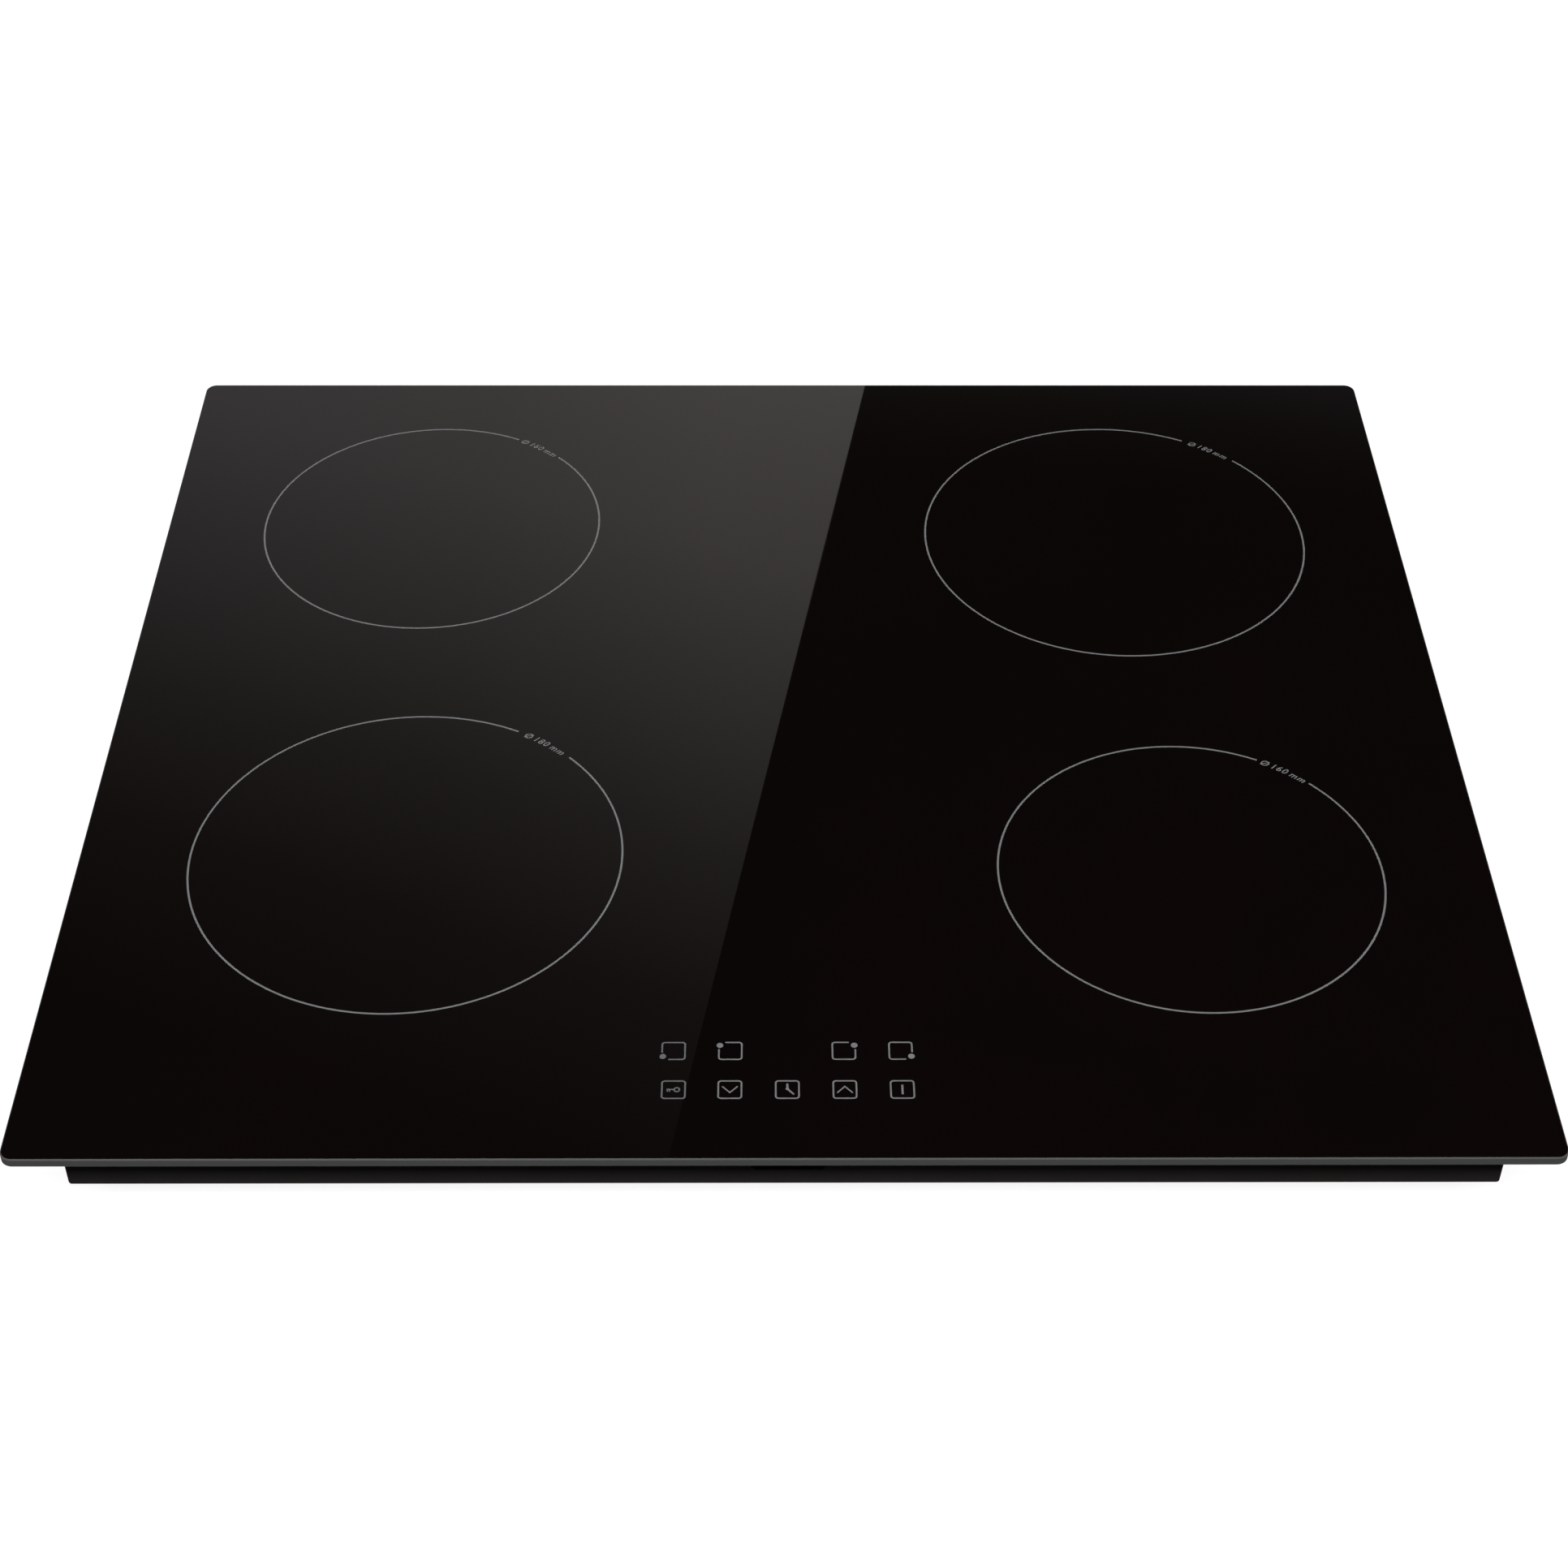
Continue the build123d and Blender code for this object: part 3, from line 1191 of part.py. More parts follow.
def terminal_screws():
    low_y = terminal_block_ys()[1] - TERMINAL_RECESS_DEPTH
    heads = []
    for x in pole_xs():
        ends = (low_y, low_y + TERMINAL_SCREW_HEIGHT)
        head = along_y(x, terminal_level(), *ends, TERMINAL_SCREW_RADIUS)
        slot = block(
            (x - TERMINAL_SCREW_RADIUS, x + TERMINAL_SCREW_RADIUS),
            (ends[1] - SCREW_SLOT_DEPTH, ends[1]),
            (terminal_level() - SCREW_SLOT_WIDTH / 2, terminal_level() + SCREW_SLOT_WIDTH / 2),
        )
        heads.append(head - slot)
    return heads


# Touch controls


def touch_points():
    """Middles of the nine touch pads, under the symbols printed on the glass."""
    rear = -GLASS_DEPTH / 2 + ICON_ROW_REAR
    front = -GLASS_DEPTH / 2 + ICON_ROW_FRONT
    points = [(step * ICON_PITCH, rear) for step in (-2, -1, 1, 2)]
    return points + [(step * ICON_PITCH, front) for step in (-2, -1, 0, 1, 2)]


def touch_board():
    size = (TOUCH_BOARD_WIDTH, TOUCH_BOARD_DEPTH, BOARD_THICKNESS)
    return standing_box(size, 0, CONTROL_Y, Z_TOUCH_BOARD)


def touch_pads():
    return [disc(x, y, Z_TOUCH_BOARD_TOP, Z_GLASS, TOUCH_PAD_RADIUS) for x, y in touch_points()]


def display_modules():
    modules = [standing_box(TIMER_DIGITS, 0, -GLASS_DEPTH / 2 + ICON_ROW_REAR, Z_TOUCH_BOARD_TOP)]
    for step in (-2, -1, 1, 2):
        modules.append(standing_box(DIGIT, step * ICON_PITCH, CONTROL_Y, Z_TOUCH_BOARD_TOP))
    return modules


def control_holder():
    """Moulded cradle for the touch board, standing on the shelf of the tray."""
    inner_x = TOUCH_BOARD_WIDTH / 2 + HOLDER_PLAY
    inner_y = TOUCH_BOARD_DEPTH / 2 + HOLDER_PLAY
    outer_x, outer_y = inner_x + HOLDER_WALL, inner_y + HOLDER_WALL
    rim = (Z_HOLDER, Z_TOUCH_BOARD_TOP + HOLDER_RIM_HEIGHT - BOARD_THICKNESS)
    body = block((-outer_x, outer_x), (-outer_y, outer_y), rim)
    body -= block((-inner_x, inner_x), (-inner_y, inner_y), (Z_TOUCH_BOARD, rim[1]))
    slot_x = RIBBON_WIDTH / 2 + RIBBON_SLOT_PLAY
    slot_y = ribbon_start_y() - CONTROL_Y
    reach = RIBBON_THICKNESS / 2 + RIBBON_SLOT_PLAY
    body -= block((-slot_x, slot_x), (slot_y - reach, slot_y + reach), (Z_HOLDER, Z_TOUCH_BOARD))
    leg_x, leg_y = outer_x - HOLDER_LEG_INSET, outer_y - HOLDER_LEG_INSET
    for sx in (-1, 1):
        for sy in (-1, 1):
            body += disc(sx * leg_x, sy * leg_y, Z_SHELF_FLOOR, Z_HOLDER, HOLDER_LEG_RADIUS)
    return Pos(0, CONTROL_Y, 0) * body


# Wiring


def ribbon_start_y():
    return CONTROL_Y + RIBBON_OFFSET


def ribbon_cable():
    """Flat cable from the touch board, over the slope of the tray, to the filter board."""
    run_z = (Z_SHELF_FLOOR + Z_HOLDER) / 2
    end_y = BOARD_FRONT_Y + 2 * SPACER_INSET
    slope_top_y = -TRAY_DEPTH / 2 + SHELF_LENGTH
    line = FilletPolyline(
        (0, ribbon_start_y(), Z_TOUCH_BOARD),
        (0, ribbon_start_y(), run_z),
        (0, slope_top_y, run_z),
        (0, end_y, Z_BOARD_TOP + 2 * RIBBON_BEND),
        (0, end_y, Z_BOARD_TOP),
        radius=RIBBON_BEND,
    )
    section = Plane(line @ 0, x_dir=(1, 0, 0), z_dir=(0, 0, -1)) * Rectangle(RIBBON_WIDTH, RIBBON_THICKNESS)
    return sweep(section, path=line)


def wire_xs():
    return [step * WIRE_LEAD_PITCH - 2 * WIRE_LEAD_PITCH for step in range(3)]


def wire_hole_places():
    radius = WIRE_LEAD_RADIUS + WIRE_LEAD_HOLE_PLAY
    return [(x, terminal_level(), radius) for x in wire_xs()]


def mains_wires():
    """Live, neutral and earth wires from the terminal block to the filter board."""
    start_y = terminal_block_ys()[0]
    end_y = FILTER_BOARD_REAR_Y - 2 * SPACER_INSET
    wires = []
    for x in wire_xs():
        line = FilletPolyline(
            (x, start_y, terminal_level()),
            (x, end_y, terminal_level()),
            (x, end_y, Z_BOARD_TOP),
            radius=WIRE_LEAD_BEND,
        )
        section = Plane(line @ 0, z_dir=line % 0) * Circle(WIRE_LEAD_RADIUS)
        wires.append(sweep(section, path=line))
    return wires


def save(name, shapes):
    """Writes one node: a solid, or a group of separate solids."""
    pieces = shapes if isinstance(shapes, list) else [shapes]
    solids = [solid for piece in pieces for solid in piece.solids()]
    export_step(solids[0] if len(solids) == 1 else Compound(solids), f"parts/{name}.step")


def main():
    os.makedirs("parts", exist_ok=True)
    save("glass_plate", glass_plate())
    save("edge_seal", edge_seal())
    save("glass_adhesive", glass_adhesive())
    save("glass_frame", glass_frame())
    save("frame_screws", [place * screw() for place in frame_screw_places()])
    save("bottom_tray", bottom_tray())
    for zone in ZONES:
        save(f"coil_winding_{zone.name}", coil_winding(zone))
        save(f"coil_former_{zone.name}", coil_former(zone))
        save(f"insulation_disc_{zone.name}", insulation_disc(zone))
        print(zone.name, "turns", coil_turns(zone), "least gap", round(least_turn_gap(zone), 3))
    save("ferrite_bars", ferrite_bars())
    save("temperature_sensors", temperature_sensors())
    save("coil_springs", coil_springs())
    save("coil_leads", coil_leads())
    save("lead_terminals", lead_terminals())
    for name, side in SIDES.items():
        save(f"coil_carrier_{name}", coil_carrier(side))
        save(f"power_board_{name}", power_board(side))
        save(f"heat_sink_{name}", heat_sink(side))
        save(f"blower_casing_{name}", blower_casing(side))
        save(f"blower_cover_{name}", blower_cover(side))
        save(f"blower_impeller_{name}", blower_impeller(side))
        save(f"blower_shaft_{name}", blower_shaft(side))
    save("carrier_posts", carrier_posts())
    save("chassis_screws", chassis_screws())
    save("board_spacers", board_spacers())
    save("power_transistors", power_transistors())
    save("bridge_rectifiers", bridge_rectifiers())
    save("film_capacitors", film_capacitors())
    save("smoothing_chokes", smoothing_chokes())
    save("filter_board", filter_board())
    save("common_mode_choke", common_mode_choke())
    save("mains_fuse", mains_fuse())
    save("blower_stators", blower_stators())
    save("terminal_box", terminal_box())
    save("terminal_block", terminal_block())
    save("terminal_screws", terminal_screws())
    save("terminal_lid", terminal_lid())
    save("cable_clamp", cable_clamp())
    save("touch_board", touch_board())
    save("touch_pads", touch_pads())
    save("display_modules", display_modules())
    save("control_holder", control_holder())
    save("ribbon_cable", ribbon_cable())
    save("mains_wires", mains_wires())


main()
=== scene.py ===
import json
from math import ceil, cos, hypot, pi, radians, sin

import bpy
from mathutils import Matrix, Vector


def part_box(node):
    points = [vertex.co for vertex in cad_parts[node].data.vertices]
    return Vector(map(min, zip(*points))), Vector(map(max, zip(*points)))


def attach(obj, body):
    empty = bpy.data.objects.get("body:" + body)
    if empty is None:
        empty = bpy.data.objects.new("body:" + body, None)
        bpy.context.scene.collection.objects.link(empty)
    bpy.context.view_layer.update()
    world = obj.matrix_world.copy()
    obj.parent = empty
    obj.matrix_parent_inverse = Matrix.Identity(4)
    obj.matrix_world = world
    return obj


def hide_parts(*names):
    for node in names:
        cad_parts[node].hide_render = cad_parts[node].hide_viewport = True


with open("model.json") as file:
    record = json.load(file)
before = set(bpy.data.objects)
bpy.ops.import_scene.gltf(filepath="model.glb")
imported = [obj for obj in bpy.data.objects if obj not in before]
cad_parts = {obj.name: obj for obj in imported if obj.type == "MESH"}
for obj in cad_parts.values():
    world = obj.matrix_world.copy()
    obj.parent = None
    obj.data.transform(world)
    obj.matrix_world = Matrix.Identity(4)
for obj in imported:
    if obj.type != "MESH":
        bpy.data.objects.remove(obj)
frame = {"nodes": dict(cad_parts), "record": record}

# Looks of the built-in induction cooktop. Sizes below are millimetres unless a name says otherwise.
MM = 0.001
NODES = frame["nodes"]
SLOT_OF_NODE = {part["node"]: part["material_slot"] for part in frame["record"]["subparts"]}
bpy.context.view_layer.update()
SCENE = bpy.context.scene

# Glass and what is printed on it
GLASS_TOP = 58.0
PRINT_SUNK = 0.01
PRINT_PROUD = 0.02
STROKE_STEP = 0.004
RING_LINE = 0.82
RING_GAP_START = 44.2
RING_GAP_END = 62.6
NUMBER_SIZE = 4.6
NUMBER_BELOW_RING = 0.4
GLYPH_ADVANCE = {" ": 1.1, "m": 4.0, "\u00d8": 3.5}
DIGIT_ADVANCE = 2.75
RING_SHIFT = (0.6, 0.26)
ZONE_RINGS = {
    "left_rear": (-169.0, 139.05, 160.5, "\u00d8 160 mm"),
    "left_front": (-158.75, -94.8, 181.0, "\u00d8 180 mm"),
    "right_rear": (158.75, 128.8, 181.0, "\u00d8 180 mm"),
    "right_front": (169.0, -105.05, 160.5, "\u00d8 160 mm"),
}
KEY_PITCH = 22.1
KEY_MIDDLE_X = 0.9
KEY_ROW_REAR_Y = -205.05
KEY_ROW_FRONT_Y = -225.2
KEY_HALF = 4.45
KEY_CORNER = 1.1
KEY_LINE = 0.64
OPEN_KEY_SIDE_END = -0.8
OPEN_KEY_FOOT_END = -2.0
KEY_DOT_X = 4.1
KEY_DOT_Y = 2.9
KEY_DOT_RADIUS = 1.3

# Symbols in the front keys, about the middle of their key
SYMBOL_LINE = 0.55
LOCK_STEP = -1.98
LOCK_EYE_X = 1.3
LOCK_EYE_RADIUS = 1.0
LOCK_SHANK = ((0.4, 0.15), (-2.6, 0.15))
LOCK_TEETH = (-2.3, -1.4)
LOCK_TOOTH_TOP = 0.15
LOCK_TOOTH_END = -1.0
DOWN_ARROW = ((-3.0, 1.7), (0.0, -1.5), (3.0, 1.7))
UP_ARROW = ((-3.0, -1.7), (0.0, 1.6), (3.0, -1.7))
TIMER_LONG_HAND = ((0.0, 3.1), (0.0, 0.4))
TIMER_LONG_LINE = 0.85
TIMER_SHORT_HAND = ((0.0, 0.4), (2.5, -2.5))
TIMER_SHORT_LINE = 0.7
TIMER_HUB_Y = 0.4
TIMER_HUB_RADIUS = 0.65
POWER_BAR = ((0.0, 2.4), (0.0, -2.4))
POWER_LINE = 0.8

# Litz windings, as they lie under the glass
WIRE_RADIUS = 1.4
TURN_PITCH = 3.45
WINDING_LEVEL = 51.0
WINDINGS = {
    "left_rear": (75.25, 15),
    "left_front": (85.25, 18),
    "right_rear": (85.25, 18),
    "right_front": (75.25, 15),
}
STRAND_LOBES = 7
STRAND_VALLEY = 0.86
STRAND_LAY = 24.0
RING_SPACING = 1.7

# Tracks on the circuit boards
TRACK_PITCH = 1.7

# Wound chokes on the boards: each winding has its start and end in degrees and its turns
CHOKE_FLOOR = 8.6
CHOKE_HEIGHT = 17.0
CHOKE_RADIUS = 20.0
CHOKE_BORE = 9.0
CHOKE_WIRE = 0.72
SMOOTHING_CHOKES = ((-112.0, -112.0), (112.0, -112.0))
SMOOTHING_WINDINGS = ((20, 345, 34),)
COMMON_CHOKE = (0.0, -25.0)
COMMON_WINDINGS = ((25, 155, 13), (205, 335, 13))
CHOKE_CORE_EDGE = 1.6
CHOKE_LOOP_EDGE = 2.4

# Soft pieces
SEAL_WIDTH = 8.5
STRIP_END_INSET = 0.25
STRIP_END_SIZE = 0.82
STRIP_INSET_SIZE = 0.95
BEAD_WIDTH = 5.0
BEAD_CORNER = 6.0
BEAD_BULGE = 0.98
PAD_RADIUS = 4.0
PAD_ROW_REAR_Y = -205.6
PAD_ROW_FRONT_Y = -225.5
PAD_BARREL = (0.86, 0.93, 0.97, 0.99, 1.0, 0.99, 0.97, 0.93, 0.86)
PAD_MIDDLE = 0.01
DISC_HOLE_RADIUS = 7.0
DISC_EDGE = 0.6


# Materials


class Look:
    """A material with one main shader, and short calls that add nodes in front of it."""

    def __init__(self, name, **sockets):
        self.material = bpy.data.materials.new(name)
        self.material.use_nodes = True
        self.tree = self.material.node_tree
        self.shader = self.tree.nodes["Principled BSDF"]
        for socket, value in sockets.items():
            self.shader.inputs[socket.replace("_", " ")].default_value = value

    def add(self, kind, inputs=None, **settings):
        """A new node with its inputs set or linked."""
        node = self.tree.nodes.new(kind)
        for setting, value in settings.items():
            setattr(node, setting, value)
        for key, value in (inputs or {}).items():
            if isinstance(value, bpy.types.NodeSocket):
                self.tree.links.new(value, node.inputs[key])
            else:
                node.inputs[key].default_value = value
        return node

    def give(self, socket, value):
        self.tree.links.new(value, self.shader.inputs[socket])

    def place(self, stretch=(1, 1, 1), turn=0.0):
        """The object's own coordinates in metres, stretched and turned about Z."""
        coordinates = self.add("ShaderNodeTexCoord").outputs["Object"]
        inputs = {"Vector": coordinates, "Scale": stretch, "Rotation": (0, 0, radians(turn))}
        return self.add("ShaderNodeMapping", inputs).outputs["Vector"]

    def noise(self, size, detail=3.0, stretch=(1, 1, 1)):
        """Soft noise with features of about this many millimetres."""
        inputs = {"Vector": self.place(stretch), "Scale": 1 / (size * MM), "Detail": detail}
        return self.add("ShaderNodeTexNoise", inputs).outputs["Fac"]

    def cells(self, size, feature="F1", stretch=(1, 1, 1), output="Distance"):
        """Cells of about this many millimetres."""
        inputs = {"Vector": self.place(stretch), "Scale": 1 / (size * MM)}
        return self.add("ShaderNodeTexVoronoi", inputs, feature=feature).outputs[output]

    def bands(self, size, axis="X", distortion=0.0, turn=0.0):
        """Even stripes of this period in millimetres."""
        inputs = {"Vector": self.place(turn=turn), "Scale": 0.314 / (size * MM), "Distortion": distortion}
        return self.add("ShaderNodeTexWave", inputs, bands_direction=axis).outputs["Fac"]

    def along(self, axis):
        """One of the object's own coordinates, in metres."""
        return self.add("ShaderNodeSeparateXYZ", {"Vector": self.place()}).outputs[axis]

    def facing_up(self):
        """How far the surface faces up or down: 1 for level, 0 for upright."""
        normal = self.add("ShaderNodeNewGeometry").outputs["True Normal"]
        up = self.add("ShaderNodeSeparateXYZ", {"Vector": normal}).outputs["Z"]
        return self.math("ABSOLUTE", up)

    def vector(self, operation, a, b=(0, 0, 0), output="Vector"):
        return self.add("ShaderNodeVectorMath", {0: a, 1: b}, operation=operation).outputs[output]

    def math(self, operation, a, b=0.0):
        return self.add("ShaderNodeMath", {0: a, 1: b}, operation=operation).outputs[0]

    def span(self, value, start, end, low=0.0, high=1.0):
        """The value mapped from one span to another, and held at its ends."""
        inputs = {"Value": value, "From Min": start, "From Max": end, "To Min": low, "To Max": high}
        return self.add("ShaderNodeMapRange", inputs).outputs["Result"]

    def ramp(self, value, *stops):
        """Colours along a value, each given with its place."""
        node = self.add("ShaderNodeValToRGB", {"Fac": value})
        while len(node.color_ramp.elements) < len(stops):
            node.color_ramp.elements.new(0.5)
        for element, (place, colour) in zip(node.color_ramp.elements, stops):
            element.position = place
            element.color = (*colour, 1.0)
        return node.outputs["Color"]

    def mix(self, factor, a, b, blend="MIX"):
        """Two colours mixed by a factor."""
        node = self.add("ShaderNodeMix", data_type="RGBA", blend_type=blend)
        for socket, value in ((node.inputs[0], factor), (node.inputs[6], a), (node.inputs[7], b)):
            if isinstance(value, bpy.types.NodeSocket):
                self.tree.links.new(value, socket)
            elif isinstance(value, tuple):
                socket.default_value = (*value, 1.0)
            else:
                socket.default_value = value
        return node.outputs[2]

    def bump(self, height, strength, depth):
        inputs = {"Height": height, "Strength": strength, "Distance": depth * MM}
        self.give("Normal", self.add("ShaderNodeBump", inputs).outputs["Normal"])

    def mottle(self, colour, size, depth=0.15, detail=4.0):
        """The colour with soft lighter and darker patches."""
        darker = tuple(c * (1 - depth) for c in colour)
        lighter = tuple(c * (1 + depth) for c in colour)
        colour_socket = self.ramp(self.noise(size, detail), (0.3, darker), (0.7, lighter))
        self.give("Base Color", colour_socket)

    def uneven(self, size, low, high, stretch=(1, 1, 1)):
        """Roughness that wanders between two values."""
        self.give("Roughness", self.span(self.noise(size, 4.0, stretch), 0.3, 0.7, low, high))


def black_glass():
    """Polished near-black glass-ceramic with a ground grey edge."""
    look = Look("black_glass", IOR=1.5)
    edge = look.span(look.facing_up(), 0.85, 0.97, 1.0, 0.0)
    haze = look.noise(120, 4.0)
    top = look.ramp(haze, (0.25, (0.0031, 0.0017, 0.0017)), (0.75, (0.0042, 0.0021, 0.0021)))
    grain = look.noise(0.25, 2.0)
    ground = look.ramp(grain, (0.25, (0.07, 0.07, 0.071)), (0.75, (0.08, 0.08, 0.081)))
    look.give("Base Color", look.mix(edge, top, ground))
    polished = look.span(haze, 0.3, 0.7, 0.006, 0.014)
    frosted = look.span(grain, 0.3, 0.7, 0.46, 0.54)
    bevel = look.span(look.facing_up(), 0.3, 0.6)
    seamed = look.mix(bevel, frosted, look.span(grain, 0.3, 0.7, 0.2, 0.22))
    look.give("Roughness", look.mix(edge, polished, seamed))
    look.bump(look.math("MULTIPLY", grain, edge), 0.015, 0.01)
    return look.material


def print_enamel(name, tone, shaded_left_end=False):
    """Matt grey enamel burnt into the glass, a little uneven. It may be painted darker at its left end, a
    painted shade where the mirrored light panel lies over it.
    """
    look = Look(name, IOR=1.5)
    thin = tuple(c * 0.88 for c in tone)
    thick = tuple(c * 1.1 for c in tone)
    ink = look.ramp(look.noise(1.4, 5.0), (0.3, thin), (0.7, thick))
    if shaded_left_end:
        # Painted shade: the print is made darker at its left end, where the mirrored light panel lies over
        # the keys.
        left_end_shade = look.span(look.along("X"), -0.04, -0.026, 0.3, 0.0)
        ink = look.mix(left_end_shade, ink, (0.007, 0.007, 0.007))
    look.give("Base Color", ink)
    look.uneven(0.5, 0.3, 0.45)
    look.bump(look.noise(0.25, 2.0), 0.1, 0.01)
    return look.material


def tray_paint():
    """Black powder coat: fine orange peel, half matt."""
    look = Look("tray_paint", Specular_IOR_Level=0.25)
    look.mottle((0.0255, 0.0238, 0.0226), 60, 0.12)
    look.uneven(9, 0.42, 0.58)
    peel = look.noise(1.1, 2.0)
    fine = look.noise(0.3, 2.0)
    look.bump(look.math("ADD", peel, look.math("MULTIPLY", fine, 0.35)), 0.22, 0.06)
    return look.material


def moulded(name, colour, low=0.42, high=0.58, grain=0.35, **sockets):
    """Moulded plastic: faint flow marks and a fine spark-eroded grain."""
    look = Look(name, **sockets)
    look.mottle(colour, 18, 0.1)
    look.uneven(5, low, high)
    look.bump(look.noise(grain, 3.0), 0.18, 0.03)
    return look.material


def foam(name, colour, cell):
    """Closed-cell foam: small pits all over, painted darker inside as painted shade, matt."""
    look = Look(name, Specular_IOR_Level=0.2)
    pits = look.cells(cell)
    # Painted shade: the pits are darker than the foam around them.
    darker = tuple(c * 0.45 for c in colour)
    look.give("Base Color", look.ramp(pits, (0.1, darker), (0.55, colour)))
    look.uneven(3, 0.8, 0.95)
    look.bump(pits, 0.6, 0.25)
    return look.material


def rolled_sheet(name, colour, low, high, stretch, spangle=0.0):
    """Rolled or drawn metal: fine streaks along one direction, crystal patches where it is plated."""
    look = Look(name, Metallic=1.0)
    streaks = look.noise(0.5, 3.0, stretch)
    darker = tuple(c * 0.82 for c in colour)
    base = look.ramp(streaks, (0.25, darker), (0.75, colour))
    if spangle:
        crystals = look.cells(spangle, output="Color")
        base = look.mix(0.12, base, crystals, "SOFT_LIGHT")
    look.give("Base Color", base)
    look.give("Roughness", look.span(streaks, 0.3, 0.7, low, high))
    look.bump(streaks, 0.08, 0.02)
    return look.material


def litz_copper():
    """Varnished copper strands, twisted: fine lines run along the twist, painted dark between the strands as
    painted shade.
    """
    look = Look("litz_copper", Metallic=0.85, Coat_Weight=0.35, Coat_Roughness=0.25)
    across = look.add("ShaderNodeTexCoord").outputs["UV"]
    inputs = {"Vector": across, "Scale": 13.4}
    strands = look.add("ShaderNodeTexWave", inputs, bands_direction="Y").outputs["Fac"]
    # Painted shade: the copper is darker in the valleys between the strands.
    copper = look.ramp(strands, (0.1, (0.2, 0.075, 0.028)), (0.7, (0.6, 0.27, 0.12)))
    tarnish = look.span(look.noise(14, 4.0), 0.45, 0.75, 0.0, 0.5)
    look.give("Base Color", look.mix(tarnish, copper, (0.32, 0.13, 0.06)))
    look.uneven(6, 0.28, 0.42)
    look.bump(strands, 0.45, 0.12)
    return look.material


def choke_wire():
    """Enamelled copper wire, glossy and a little uneven in tone."""
    look = Look("choke_wire", Metallic=0.7, Coat_Weight=0.8, Coat_Roughness=0.12)
    look.mottle((0.42, 0.16, 0.06), 5, 0.25)
    look.uneven(3, 0.2, 0.34)
    return look.material


def choke_core():
    """Iron-powder core under a coat of green lacquer."""
    look = Look("choke_core", Coat_Weight=0.3, Coat_Roughness=0.3)
    look.mottle((0.035, 0.12, 0.09), 4, 0.2)
    look.uneven(2, 0.4, 0.6)
    look.bump(look.noise(0.4, 3.0), 0.3, 0.06)
    return look.material


def fibre_sheet():
    """Pressed fibre: long pale fibres over a cream ground, soft and matt."""
    look = Look("mica_felt", Specular_IOR_Level=0.2, Sheen_Weight=0.25, Sheen_Roughness=0.6)
    long_x = look.noise(0.35, 4.0, (1, 9, 1))
    long_y = look.noise(0.35, 4.0, (9, 1, 1))
    fibres = look.math("MAXIMUM", long_x, long_y)
    look.give("Base Color", look.ramp(fibres, (0.4, (0.58, 0.56, 0.5)), (0.75, (0.84, 0.82, 0.76))))
    look.uneven(8, 0.85, 0.98)
    look.bump(fibres, 0.5, 0.12)
    return look.material


def ferrite():
    """Sintered ferrite: dark grey, dull, with fine pores."""
    look = Look("ferrite", Metallic=0.15)
    look.mottle((0.05, 0.05, 0.054), 5, 0.2)
    look.uneven(2, 0.5, 0.72)
    look.bump(look.cells(0.45), 0.25, 0.05)
    return look.material


def woven_sleeve():
    """Braided glass-fibre sleeve: two crossing sets of yarns, painted darker between the yarns as painted
    shade.
    """
    look = Look("lead_sleeve", Specular_IOR_Level=0.3, Sheen_Weight=0.3)
    weave = look.math("MAXIMUM", look.bands(0.9, "DIAGONAL"), look.bands(0.9, "DIAGONAL", turn=90))
    # Painted shade: the yarn colour is darker in the gaps between the yarns.
    look.give("Base Color", look.ramp(weave, (0.2, (0.42, 0.39, 0.33)), (0.8, (0.8, 0.77, 0.7))))
    look.uneven(4, 0.65, 0.85)
    look.bump(weave, 0.5, 0.15)
    return look.material


def circuit_board():
    """Green solder mask over copper tracks that run in bundles either way, with round tinned pads."""
    look = Look("circuit_board", IOR=1.5)
    per_track = 1 / (TRACK_PITCH * MM)
    grid = look.vector("MULTIPLY", look.place(), (per_track, per_track, 0))
    cell = look.vector("FLOOR", grid)
    spot = look.vector("SUBTRACT", look.vector("FRACTION", grid), (0.5, 0.5, 0))
    sides = look.add("ShaderNodeSeparateXYZ", {"Vector": look.vector("ABSOLUTE", spot)}).outputs
    bundle_inputs = {"Vector": cell, "Scale": 0.13, "Detail": 0.0}
    bundle = look.add("ShaderNodeTexNoise", bundle_inputs, noise_dimensions="2D").outputs["Fac"]
    lengthwise = look.math("GREATER_THAN", bundle, 0.5)
    crosswise = look.math("SUBTRACT", 1.0, lengthwise)
    away_x = look.math("MULTIPLY", lengthwise, sides["X"])
    away_y = look.math("MULTIPLY", crosswise, sides["Y"])
    away = look.math("ADD", away_x, away_y)
    chance = look.add("ShaderNodeTexWhiteNoise", {"Vector": cell}, noise_dimensions="2D").outputs["Value"]
    laid = look.math("LESS_THAN", chance, 0.9)
    track = look.math("MULTIPLY", look.span(away, 0.24, 0.28, 1.0, 0.0), laid)
    disc = look.span(look.vector("LENGTH", spot, output="Value"), 0.38, 0.42, 1.0, 0.0)
    pad = look.math("MULTIPLY", disc, look.math("GREATER_THAN", chance, 0.93))
    mask = look.mix(track, (0.012, 0.075, 0.033), (0.026, 0.16, 0.066))
    look.give("Base Color", look.mix(pad, mask, (0.5, 0.5, 0.47)))
    look.give("Roughness", look.span(track, 0.0, 1.0, 0.4, 0.3))
    look.bump(look.math("MAXIMUM", track, pad), 0.25, 0.04)
    return look.material


def laminations():
    """Stack of stamped steel sheets, seen as fine lines in its side."""
    look = Look("stator_core", Metallic=0.9)
    sheets = look.bands(0.5, "Z")
    look.give("Base Color", look.ramp(sheets, (0.2, (0.1, 0.085, 0.075)), (0.6, (0.4, 0.35, 0.31))))
    look.uneven(2, 0.35, 0.5)
    look.bump(sheets, 0.4, 0.1)
    return look.material


